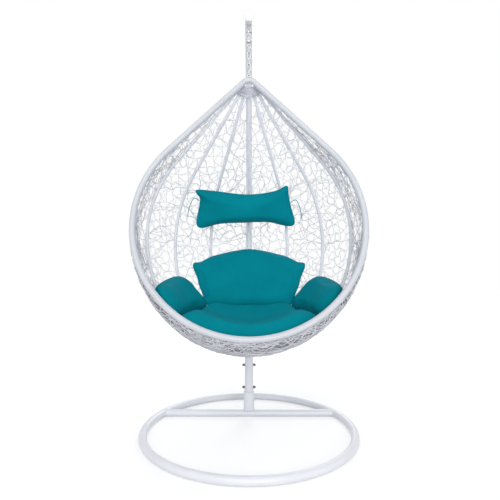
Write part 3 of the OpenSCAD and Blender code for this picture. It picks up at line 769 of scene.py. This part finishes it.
def wall_radius(phi, y):
    """How far the wall lies from the rim's middle, in the direction phi, at a depth y behind the rim."""
    low, high = np.full_like(phi, 250.0), np.full_like(phi, 720.0)
    for _ in range(22):
        r = 0.5 * (low + high)
        spot = rim_to_chair(np.stack([r * np.cos(phi), y, -RIM_DROP + r * np.sin(phi)], -1)) - BALL_MIDDLE
        past = np.linalg.norm(spot, axis=-1) > wall_reach(fall_of(spot))
        high, low = np.where(past, r, high), np.where(past, low, r)
    return r


def mesh_spots(rng, gap):
    """Spots over the wall behind the rim, no two nearer than the gap."""
    found = np.zeros((0, 3))
    for _ in range(26):
        tries = unit(rng.normal(size=(700, 3)))
        tries[:, 1] = np.abs(tries[:, 1])
        tries = unit(tries - np.array([0.0, 0.16, 0.0]))
        for spot in on_wall(tries * BALL_R):
            if len(found) == 0 or np.min(np.sum((found - spot) ** 2, axis=1)) > gap * gap:
                found = np.vstack([found, spot])
    return found


def open_mesh(rng, gap):
    """Strands that cross one another through the middles of a net's sides: points, directions and lift."""
    spots = mesh_spots(rng, gap)
    way = unit(spots)
    flat = np.sqrt(2 / (1.0001 + way[:, 1]))[:, None] * way[:, [0, 2]]
    _, _, cells, _, _, _ = geometry.delaunay_2d_cdt([Vector(f) for f in flat], [], [], 0, 1e-6)
    sides, kept = {}, []
    for cell in cells:
        a, b, c = cell
        far = max(np.linalg.norm(spots[i] - spots[k]) for i, k in ((a, b), (b, c), (c, a)))
        if far < 2.6 * gap:
            kept.append((a, b, c))
            for i, k in ((a, b), (b, c), (c, a)):
                sides.setdefault(frozenset((i, k)), []).append(len(kept) - 1)
    middles = {}
    for pair in sides:
        i, k = tuple(pair)
        share = rng.uniform(0.32, 0.68)
        middles[pair] = on_wall(spots[i] * share + spots[k] * (1 - share) + rng.normal(0, 2.2, 3))
    used, runs, over = set(), [], {}

    def follow(cell, start, end):
        line = []
        while True:
            mark = (cell, frozenset((start, end)))
            if mark in used:
                return line
            used.add(mark)
            line.append(end)
            others = [c for c in sides[end] if c != cell]
            if not others:
                return line
            cell = others[0]
            far = next(iter(end - start))
            third = next(v for v in kept[cell] if v not in end)
            start, end = end, frozenset((far, third))

    for number, (a, b, c) in enumerate(kept):
        pairs = [frozenset(p) for p in ((a, b), (b, c), (c, a))]
        for first, second in ((0, 1), (1, 2), (2, 0)):
            start, end = pairs[first], pairs[second]
            if (number, frozenset((start, end))) in used:
                continue
            ahead = follow(number, start, end)
            used.discard((number, frozenset((start, end))))
            back = follow(number, end, start)
            strand = back[::-1] + ahead
            if len(strand) < 3:
                continue
            rises = []
            for spot in strand:
                over[spot] = -over.get(spot, rng.choice((-1.0, 1.0)))
                rises.append(over[spot])
            line = open_curve(np.array([middles[m] for m in strand]), 3)
            line = on_wall(line)
            rise = open_curve(np.array(rises)[:, None], 3)[:, 0]
            runs.append((line, wall_out(line), rise))
    return runs


def edge_runs(rng, wanted):
    """Strands that run up and down the strip between the outer ribs and the rim."""
    runs, total = [], 0.0
    steps, batch = 44, 30
    while total < wanted:
        turn = rng.uniform(70, 96, batch) * rng.choice((-1, 1), batch)
        fall = rng.uniform(-76, 28, batch)
        starts = wall_point(turn, fall, 0.0) - BALL_MIDDLE
        heads = wall_point(turn, fall + 2.0, 0.0) - BALL_MIDDLE - starts
        heads = unit(heads) + rng.normal(0, 0.22, heads.shape)
        line, outs = wander(starts, heads, steps, rng, 0.04, 0.3)
        lift = RIB_R + rng.choice((1.0, 3.4, 5.8), batch)[:, None] + swell(batch, steps + 1, rng, 1.2)
        placed = line + outs * lift[..., None] + BALL_MIDDLE
        aside = np.degrees(np.arctan2(np.abs(line[..., 0]), line[..., 1]))
        for run in kept_runs(placed, outs, off_rim(placed) & (aside > 73), 6):
            runs.append(run)
            total += WALL_STEP * len(run[0])
    return runs


def stray_runs(rng, wanted):
    """Strands that stray over the outside of the wall's net."""
    runs, total = [], 0.0
    steps, batch = 70, 40
    while total < wanted:
        spots = unit(rng.normal(size=(batch, 3))) * BALL_R
        spots[:, 1] = np.abs(spots[:, 1])
        line, outs = wander(spots, rng.normal(size=(batch, 3)), steps, rng, 0.05, 0.5)
        lift = RIB_R + 4.6 + np.abs(swell(batch, steps + 1, rng, 1.3))
        placed = line + outs * lift[..., None] + BALL_MIDDLE
        for run in kept_runs(placed, outs, off_rim(placed), 8):
            runs.append(run)
            total += WALL_STEP * len(run[0])
            if total >= wanted:
                break
    return runs


class CHAIR_OT_wall_weave(bpy.types.Operator):
    """Weave the open wall: crossing strands on the outside of the ribs, and some that stray over them"""

    bl_idname = "basket_chair.wall_weave"
    bl_label = "Wall weave"

    def execute(self, context):
        rng = np.random.default_rng(11)
        wide = sizes().strand_width * 1000
        thick = wide * 0.72
        runs = []
        for line, outs, rise in open_mesh(rng, sizes().mesh_gap * 1000):
            placed = line + outs * (RIB_R + 2.2 + 1.1 * rise)[:, None] + BALL_MIDDLE
            runs += kept_runs(placed[None], outs[None], off_rim(placed)[None], 5)
        strays = stray_runs(rng, sizes().stray_total * 1000)
        # The edge strips take a darker copy of the wicker as painted shade
        edge = wicker_piece("weave_edge", edge_runs(rng, sizes().edge_total * 1000), wide, thick,
                            finish_of("wicker_edge_shaded"))
        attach(edge, "chair")
        half = len(runs) // 2
        for name, part, nodes in (("weave_mesh_a", runs[:half], ("woven_top",)),
                                  ("weave_mesh_b", runs[half:], ("woven_back",)),
                                  ("weave_strays", strays, ("woven_flank", "woven_belly"))):
            weave = wicker_piece(name, part, wide, thick, finish_of("wicker"))
            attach(weave, "chair")
            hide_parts(*nodes)
        return {"FINISHED"}


# nest

# Where the nest starts beside the rim, and how far its strands advance
NEST_START = RIM_R + 7.0
NEST_STEP = 10.0


def nest_place(phi, q):
    """A spot of the nest's inner skin and its outward direction, a way q from the rim at the angle phi."""
    edge = wall_radius(phi, np.full_like(phi, 15.0))
    width = np.maximum(edge - NEST_START, 1.0)
    s = np.clip(q / width, 0, 1)
    y = np.where(q < width, 9 + 6 * s - 9.0 * np.sin(np.pi * s) * np.minimum(1, width / 40), 15 + (q - width))
    r = np.where(q < width, NEST_START + q, wall_radius(phi, np.maximum(y, 15.0)))
    tilt = np.radians(80 * s)
    ahead, radial = -np.cos(tilt), np.sin(tilt)
    spots = np.stack([r * np.cos(phi), y, -RIM_DROP + r * np.sin(phi)], -1)
    return spots, np.stack([radial * np.cos(phi), ahead, radial * np.sin(phi)], -1), r, width


def off_front(outs):
    """0 where a direction points to the front, and 1 where it is turned well away from it."""
    return np.clip((outs[..., 1] + 1) * 1.3, 0, 1)


def core_sheet(rng):
    """The innermost layer of the nest: a closed sheet for weave too tight to see through, coloured dark as
    painted shadow in the gaps between the nest's strands.
    """
    along = np.radians(np.linspace(-172, -8, 190))
    out_by = np.linspace(2.0, 116.0, 26)
    phi, q = np.meshgrid(along, out_by, indexing="ij")
    from_end = np.minimum(phi + math.pi, -phi)
    q = q * np.clip(from_end / math.radians(48), 0.05, 1.0) ** 0.7
    spots, outs, _, _ = nest_place(phi, q)
    lift = 4.4 * off_front(outs) + rng.normal(0, 0.35, phi.shape)
    verts = np.concatenate([(spots + outs * (lift + 0.3)[..., None]).reshape(-1, 3),
                            (spots + outs * (lift - 1.5)[..., None]).reshape(-1, 3)])
    rows, cols = phi.shape

    def flat(i, k, layer=0):
        return layer * rows * cols + i * cols + k

    faces = []
    for i in range(rows - 1):
        for k in range(cols - 1):
            quad = (flat(i, k), flat(i + 1, k), flat(i + 1, k + 1), flat(i, k + 1))
            faces.append(quad)
            faces.append(tuple(v + rows * cols for v in quad[::-1]))
        for k, turn in ((0, 1), (cols - 1, -1)):
            quad = (flat(i, k), flat(i, k, 1), flat(i + 1, k, 1), flat(i + 1, k))
            faces.append(quad[::turn])
    for k in range(cols - 1):
        for i, turn in ((0, -1), (rows - 1, 1)):
            quad = (flat(i, k), flat(i, k, 1), flat(i, k + 1, 1), flat(i, k + 1))
            faces.append(quad[::turn])
    # The core's dark finish is painted shadow
    core = new_piece("nest_core", chair_to_row(rim_to_chair(verts)), faces, finish_of("wicker_core_shadow"))
    face_out(core)
    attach(core, "chair")


def rim_strands(rng):
    """Strands side by side along the rim: the outer layer, which is coloured darker as painted shade, and the
    inner one.
    """
    along = np.radians(np.arange(-178.5, -1.5, math.degrees(NEST_STEP / RIM_R)))
    count, steps = 30, len(along)
    phi = np.tile(along, (count, 1))
    q = np.linspace(1.0, 128.0, count)[:, None] + swell(count, steps, rng, 2.2)
    spots, outs, _, _ = nest_place(phi, np.maximum(q, 0))
    lift = 0.6 + 6.6 * off_front(outs)
    first = np.radians(rng.uniform(-178, -158, (count, 1)))
    last = np.radians(rng.uniform(-22, -2, (count, 1)))
    keep = (phi > first) & (phi < last)
    return [kept_runs(rim_to_chair(placed), rim_to_chair(outs), keep, 6)
            for placed in (spots + outs * lift[..., None], spots - outs * 3.6)]


def flowing_strands(rng, wanted):
    """Strands that flow along the rim over all others, and sway in and out as they go."""
    steps = 46
    count = int(wanted / (NEST_STEP * steps))
    phi = np.radians(rng.uniform(-178, -2, count))
    q = rng.uniform(0, 1, count) ** 0.85 * 112.0
    head = rng.normal(0, 0.3, count)
    turned = rng.random(count) < 0.5
    spots, outs = [], []
    for _ in range(steps + 1):
        spot, out, r, width = nest_place(phi, q)
        spots.append(spot)
        outs.append(out)
        head = 0.9 * head + rng.normal(0, 0.13, count) + np.where(rng.random(count) < 0.08,
                                                                 rng.normal(0, 0.5, count), 0)
        phi = phi + np.where(turned, -1, 1) * np.cos(head) * NEST_STEP / np.maximum(r, 300)
        q = q + np.sin(head) * NEST_STEP
        head = np.where((q < 0) | (q > width + 95), -head, head)
        q = np.clip(q, 0, width + 95)
    spots, outs = np.stack(spots, 1), np.stack(outs, 1)
    layer = rng.choice([0.0, 2.2, 4.4], count)[:, None]
    lift = 2.6 + layer + swell(count, steps + 1, rng, 2.4)
    lift = lift + 5.2 * off_front(outs)
    ends = np.minimum(np.arange(steps + 1), np.arange(steps, -1, -1))[None, :]
    lift = lift - np.clip(3 - ends, 0, 3) * 1.6
    placed = spots + outs * lift[..., None]
    flat = np.degrees(np.arctan2(placed[..., 2] + RIM_DROP, placed[..., 0]))
    return kept_runs(rim_to_chair(placed), rim_to_chair(outs), (flat < 4) | (flat > 176), 6)


class CHAIR_OT_nest_band(bpy.types.Operator):
    """Weave the thick nest of strands that runs along under the rim from side to side"""

    bl_idname = "basket_chair.nest_band"
    bl_label = "Nest band"

    def execute(self, context):
        rng = np.random.default_rng(23)
        wide = sizes().strand_width * 1000 * 1.33
        under, inner = rim_strands(rng)
        over = flowing_strands(rng, sizes().nest_total * 1000)
        core_sheet(rng)
        # The nest's strands take darker copies of the wicker as painted shade, deepest on the under layer
        for name, runs, coat in (("nest_inner", inner, "wicker_edge_shaded"), ("nest_under", under, "wicker_under_shaded"),
                                 ("nest_over", over, "wicker_edge_shaded")):
            nest = wicker_piece(name, runs, wide, wide * 0.8, finish_of(coat))
            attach(nest, "chair")
            if name == "nest_over":
                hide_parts("woven_lip")
        return {"FINISHED"}


class CHAIR_OT_rib_lashings(bpy.types.Operator):
    """Wrap single turns of wicker round the ribs where strands cross them"""

    bl_idname = "basket_chair.rib_lashings"
    bl_label = "Rib lashings"

    def execute(self, context):
        rng = np.random.default_rng(5)
        wide = sizes().strand_width * 1000 * 0.85
        runs = []
        for number in range(-3, 4):
            turn = number * RIB_STEP
            falls = np.concatenate([rng.uniform(-76, -40, 20), rng.uniform(-40, 45, 12)])
            for fall in falls:
                spot = on_wall(wall_point(turn, fall, -RIB_R) - BALL_MIDDLE)
                out = wall_out(spot)
                beyond = on_wall(wall_point(turn, fall + 1.0, -RIB_R) - BALL_MIDDLE)
                way = unit(beyond - spot)
                side = np.cross(way, out)
                angle = np.linspace(0, 2 * np.pi * 1.15, 12) + rng.uniform(0, 6.28)
                slope = rng.normal(0, 4.0)
                radius = RIB_R + wide * 0.3
                arms = np.cos(angle)[:, None] * out + np.sin(angle)[:, None] * side
                along = slope * np.sin(angle) + np.linspace(-1.6, 1.6, 12)
                runs.append((spot + radius * arms + along[:, None] * way + BALL_MIDDLE, arms))
        half = math.radians(CONE_HALF)
        for side in (-1, 1):
            for slant in np.arange(44.0, 94.0, 3.1):
                turn = np.radians(np.linspace(-86, 86, 44))
                off = side * (RIB_R + 1.3 + rng.uniform(0, 1.2)) + 0.5 * np.sin(turn * rng.uniform(2, 6))
                way = slant + 1.6 * np.sin(turn * rng.uniform(1, 4) + rng.uniform(0, 6))
                out = way * math.sin(half) + off * math.cos(half)
                line = np.stack([out * np.sin(turn), out * np.cos(turn),
                                 -way * math.cos(half) + off * math.sin(half)], -1)
                outs = side * np.stack([math.cos(half) * np.sin(turn), math.cos(half) * np.cos(turn),
                                        np.full_like(turn, math.sin(half))], -1)
                keep = chair_to_rim(line)[:, 1] > 11.0
                runs += kept_runs(line[None], outs[None], keep[None], 5)
        lashings = wicker_piece("rib_lashings", runs, wide, wide * 0.6, finish_of("wicker"))
        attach(lashings, "chair")
        return {"FINISHED"}


# spring

# In millimetres: its top, length at rest, wire and the radius of its curls
SPRING_TOP = 1914.2
SPRING_LONG = 39.4
SPRING_WIRE = 4.0
SPRING_R = 14.0
SPRING_CURLS = 6


class CHAIR_OT_spring(bpy.types.Operator):
    """Wind the spring as one smooth round wire that stretches between its two seats"""

    bl_idname = "basket_chair.spring"
    bl_label = "Spring"

    def execute(self, context):
        t = np.linspace(0, 1, SPRING_CURLS * 28 + 1)
        ease = np.clip((t - 0.5) * 1.12, -0.5, 0.5) + 0.5
        angle = 2 * np.pi * SPRING_CURLS * t
        r = SPRING_R - 0.6 * (np.abs(t - 0.5) > 0.46)
        z = SPRING_TOP - SPRING_WIRE / 2 - ease * (SPRING_LONG - SPRING_WIRE)
        line = np.stack([r * np.cos(angle), HANG_Y + r * np.sin(angle), z], -1)
        outs = np.stack([np.cos(angle), np.sin(angle), 0 * angle], -1)
        verts, faces, _, _ = strand_mesh([(line, outs)], SPRING_WIRE, SPRING_WIRE, 10)
        coil = new_piece("spring_coil", verts * 0.001, faces, finish_of("spring_coat"))
        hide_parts("spring")
        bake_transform(coil)
        return {"FINISHED"}


# cushions

# Outlines in degrees round the bowl's lowest point, or as turn and fall for the pillow
SEAT_RIGHT = ((0, 43), (15, 39.8), (28.6, 36.0), (33.6, 22.5), (35.2, 8), (37.2, -5), (31, -12), (0, -12))
BACK_RIGHT = ((0, 89.5), (19, 85.5), (36, 75.5), (45, 64.5), (50, 58.2), (44, 54), (39.5, 49), (34, 43.6),
              (29, 38.0), (15, 41.6), (0, 45.2))
ARM_RIGHT = ((28.2, 37.4), (36, 42.4), (46, 44), (56, 37), (60, 20), (58, 0), (50, -7), (40, -3), (35.8, 10),
             (33.8, 24))
PILLOW = ((-43.5, -36), (-23.5, -38.2), (0, -37.6), (17.5, -38.2), (30.5, -38.8), (38.8, -41), (37.8, -34.5),
          (37.1, -27), (36.4, -13.4), (18.5, -17.4), (0, -17.3),
          (-17.5, -15.7), (-34.2, -11.4), (-36.5, -25), (-38, -31))
# How high up a cushion's side its seam runs, and the gap under it in millimetres
SEAM_SHARE = 0.38
REST_GAP = 0.5
# The share by which a pad starts larger than its outline, before it is puffed up
EXTRA = 0.012
PUFF_PRESSURE = 4.0
PUFF_FRAMES = 20
# Within this many millimetres of the wall a cushion's points move little
REST_BAND = 12


def both_sides(corners):
    """A right half's corners and their mirror image."""
    return list(corners) + [(-x, y) for x, y in corners[-2:0:-1]]


def flipped(corners):
    """The mirror image of a whole outline's corners."""
    return [(-x, y) for x, y in corners[::-1]]


def bowl_place(spots, depth):
    """Places in the bowl, from degrees to the side and to the back of its lowest point."""
    spots = np.asarray(spots, float)
    turn = np.degrees(np.arctan2(spots[..., 0], spots[..., 1]))
    return wall_point(turn, 90 - np.hypot(spots[..., 0], spots[..., 1]), depth)


def back_place(spots, depth):
    """Places on the back wall, from turn and fall in degrees."""
    spots = np.asarray(spots, float)
    return wall_point(spots[..., 0], spots[..., 1], depth)


def pad_mesh(name, corners, middle, thick, full, place):
    """A crowned pad on the wall: face, seam and rest side. Also the seam's own line."""
    outline = closed_curve(np.array(corners, float), 9)
    middle = np.array(middle, float)
    ahead = np.roll(outline, -1, 0)
    area = 0.5 * np.sum(outline[:, 0] * ahead[:, 1] - ahead[:, 0] * outline[:, 1])
    if (area > 0) == (place is bowl_place):
        outline = outline[::-1]
    n, rings = len(outline), 15
    shares = 1 - (1 - np.arange(1, rings) / rings) ** 2.0
    body = thick * (1 + 1.2 * EXTRA)
    waves = np.fft.fft((outline - middle) @ np.array([1, 1j]))
    waves[4:-3] = 0
    soft = np.fft.ifft(waves)
    soft = middle + np.stack([soft.real, soft.imag], -1)

    def ring(share, depth):
        edge = soft + share**3 * (outline - soft)
        return place(middle + share * (1 + EXTRA) * (edge - middle), depth)

    def bow(share, power):
        return math.sqrt(max(0.0, 1 - share**power))

    layers = [ring(s, body * (SEAM_SHARE + (1 - SEAM_SHARE) * bow(s, full))) for s in shares]
    layers.append(ring(1.0, body * SEAM_SHARE + REST_GAP))
    layers += [ring(s, REST_GAP + 1.5 + body * SEAM_SHARE * (1 - bow(s, 6))) for s in shares[::-1]]
    tips = [place(middle, body), place(middle, REST_GAP + 1.5)]
    verts = chair_to_row(np.vstack(layers + [np.array(tips)]))
    count = len(layers)
    faces = []
    for j in range(count - 1):
        for i in range(n):
            a, b = j * n + i, j * n + (i + 1) % n
            faces.append((a, b, b + n, a + n))
    top = n * count
    faces += [(top, (i + 1) % n, i) for i in range(n)]
    faces += [(top + 1, top - n + i, top - n + (i + 1) % n) for i in range(n)]
    pad = new_piece(name, verts, faces, finish_of("cushion_cloth"))
    face_out(pad)
    seam = chair_to_row(place(outline, thick * SEAM_SHARE + REST_GAP))
    return pad, seam


def mesh_points(mesh):
    """The places of a mesh's points."""
    places = np.zeros(len(mesh.vertices) * 3)
    mesh.vertices.foreach_get("co", places)
    return places.reshape(-1, 3)


def puffed(pad, cap):
    """The pad filled like a sewn cover: an even mesh, blown up as cloth, with no point moved past the cap."""
    activate(pad)
    even = pad.modifiers.new("even", "REMESH")
    even.mode = "VOXEL"
    even.voxel_size = sizes().voxel
    even.use_smooth_shade = True
    bpy.ops.object.modifier_apply(modifier=even.name)
    scene = bpy.context.scene
    before = mesh_points(pad.data)
    cloth = pad.modifiers.new("cloth", "CLOTH")
    cloth.settings.quality = 4
    cloth.settings.mass = 0.25
    cloth.settings.tension_stiffness = 25
    cloth.settings.compression_stiffness = 8
    cloth.settings.shear_stiffness = 6
    cloth.settings.bending_stiffness = 0.4
    cloth.settings.use_pressure = True
    cloth.settings.uniform_pressure_force = PUFF_PRESSURE
    cloth.settings.effector_weights.gravity = 0
    cloth.collision_settings.use_collision = False
    cloth.point_cache.frame_start, cloth.point_cache.frame_end = 1, PUFF_FRAMES
    for number in range(1, PUFF_FRAMES + 1):
        scene.frame_set(number)
    deps = bpy.context.evaluated_depsgraph_get()
    move = mesh_points(pad.evaluated_get(deps).data) - before
    pad.modifiers.remove(cloth)
    scene.frame_set(1)
    size = np.linalg.norm(move, axis=1, keepdims=True)
    inside = row_to_chair(before) - BALL_MIDDLE
    depth = (wall_reach(fall_of(inside)) - RIB_R - np.linalg.norm(inside, axis=1))[:, None]
    most = np.where(depth < REST_BAND, 0.25 * cap * np.clip(depth / REST_BAND, 0, 1), cap)
    move *= np.minimum(1.0, most / np.maximum(size, 1e-9))
    pad.data.vertices.foreach_set("co", (before + move).ravel())
    pad.data.update()


def eased(pad, seam):
    """Creases smoothed out of the pad, more so away from its seam."""
    near = kdtree.KDTree(len(seam))
    for number, spot in enumerate(seam):
        near.insert(Vector(spot), number)
    near.balance()
    group = pad.vertex_groups.new(name="inner")
    for vertex in pad.data.vertices:
        group.add([vertex.index], min(1.0, near.find(vertex.co)[2] / sizes().seam_reach), "REPLACE")
    activate(pad)
    ease = pad.modifiers.new("ease", "SMOOTH")
    ease.factor = 0.5
    ease.iterations = 26
    ease.vertex_group = group.name
    bpy.ops.object.modifier_apply(modifier=ease.name)


def welt(name, pad, seam):
    """The sewn seam round a pad: a thin roll that follows its edge."""
    tree = BVHTree.FromObject(pad, bpy.context.evaluated_depsgraph_get())
    line, outs = [], []
    for spot in seam:
        near, normal, _, _ = tree.find_nearest(Vector(spot))
        if near is None:
            raise RuntimeError("no cloth near the seam of " + name)
        line.append(np.array(near) + np.array(normal) * 0.0006)
        outs.append(np.array(normal))
    line = np.array(line)
    for _ in range(2):
        line = 0.5 * line + 0.25 * (np.roll(line, 1, 0) + np.roll(line, -1, 0))
    n, sides, width = len(line), 8, sizes().welt_width
    way = unit(np.roll(line, -1, 0) - np.roll(line, 1, 0))
    verts = tube_rings(line, way, np.array(outs), width, width, sides)
    faces = []
    for i in range(n):
        here, there = i * sides, (i + 1) % n * sides
        for k in range(sides):
            after = (k + 1) % sides
            faces.append((here + k, here + after, there + after, there + k))
    made = new_piece(name, verts, faces, finish_of("cushion_cloth"))
    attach(made, "chair")


def cushion(name, cad_node, corners, middle, thick, full, place, cap):
    """A cushion that thick in millimetres, flatter on top for a higher full, puffed by up to cap metres."""
    pad, seam = pad_mesh(name, corners, middle, thick, full, place)
    puffed(pad, cap)
    eased(pad, seam)
    smooth = pad.modifiers.new("smooth", "SUBSURF")
    smooth.levels = smooth.render_levels = 1
    pad.data.shade_smooth()
    welt(name + "_seam", pad, seam)
    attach(pad, "chair")
    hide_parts(cad_node)


class CHAIR_OT_seat(bpy.types.Operator):
    """Sew and fill the seat cushion in the bowl"""

    bl_idname = "basket_chair.seat"
    bl_label = "Seat cushion"

    def execute(self, context):
        cushion("seat_pad", "seat_cushion", both_sides(SEAT_RIGHT), middle=(0, 12), thick=110, full=4,
                place=bowl_place, cap=0.016)
        return {"FINISHED"}


class CHAIR_OT_back(bpy.types.Operator):
    """Sew and fill the fan-shaped back cushion"""

    bl_idname = "basket_chair.back"
    bl_label = "Back cushion"

    def execute(self, context):
        cushion("back_pad", "back_cushion", both_sides(BACK_RIGHT), middle=(0, 60), thick=90, full=3,
                place=bowl_place, cap=0.007)
        return {"FINISHED"}


class CHAIR_OT_arms(bpy.types.Operator):
    """Sew and fill the two round arm cushions"""

    bl_idname = "basket_chair.arms"
    bl_label = "Arm cushions"

    def execute(self, context):
        for side, middle, corners in (("left", (-46, 18), flipped(ARM_RIGHT)),
                                      ("right", (46, 18), list(ARM_RIGHT))):
            cushion("arm_pad_" + side, "arm_cushion_" + side, corners, middle=middle, thick=80, full=3,
                    place=bowl_place, cap=0.007)
        return {"FINISHED"}


class CHAIR_OT_pillow(bpy.types.Operator):
    """Sew and fill the head pillow with its four pointed corners"""

    bl_idname = "basket_chair.pillow"
    bl_label = "Head pillow"

    def execute(self, context):
        corners = [(x + PILLOW_TURN, y) for x, y in PILLOW]
        cushion("pillow_pad", "head_pillow", corners, middle=(PILLOW_TURN, -26), thick=110, full=2.5,
                place=back_place, cap=0.006)
        return {"FINISHED"}


# finishes on the frame


class CHAIR_OT_finishes(bpy.types.Operator):
    """Give each carried-over part of the frame its finish"""

    bl_idname = "basket_chair.finishes"
    bl_label = "Frame finishes"

    def execute(self, context):
        coats = {name: coat for names, coat in COATS for name in names}
        for name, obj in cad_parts.items():
            if obj.hide_render:
                continue
            if name not in coats:
                raise RuntimeError("no finish for the part " + name)
            obj.data.materials.clear()
            obj.data.materials.append(finish_of(coats[name]))
        return {"FINISHED"}


class CHAIR_PT_panel(bpy.types.Panel):
    """Builds the chair's pieces one by one"""

    bl_label = "Basket chair"
    bl_idname = "CHAIR_PT_panel"
    bl_space_type = "VIEW_3D"
    bl_region_type = "UI"
    bl_category = "Basket chair"

    def draw(self, context):
        layout = self.layout
        for group in (context.scene.chair_sizes, context.scene.chair_colours):
            for name in group.__annotations__:
                layout.prop(group, name)
        for step in STEPS:
            layout.operator(step.bl_idname)


STEPS = (
    CHAIR_OT_stage, CHAIR_OT_ties, CHAIR_OT_spring, CHAIR_OT_wall_weave, CHAIR_OT_nest_band,
    CHAIR_OT_rib_lashings, CHAIR_OT_seat, CHAIR_OT_back, CHAIR_OT_arms, CHAIR_OT_pillow, CHAIR_OT_finishes,
)
CLASSES = (ChairSizes, ChairColours, *STEPS, CHAIR_PT_panel)


def register():
    for cls in CLASSES:
        bpy.utils.register_class(cls)
    bpy.types.Scene.chair_sizes = bpy.props.PointerProperty(type=ChairSizes)
    bpy.types.Scene.chair_colours = bpy.props.PointerProperty(type=ChairColours)


def unregister():
    del bpy.types.Scene.chair_colours
    del bpy.types.Scene.chair_sizes
    for cls in reversed(CLASSES):
        bpy.utils.unregister_class(cls)


def main():
    register()
    for step in STEPS:
        group, name = step.bl_idname.split(".")
        getattr(getattr(bpy.ops, group), name)()


if __name__ == "__main__":
    main()
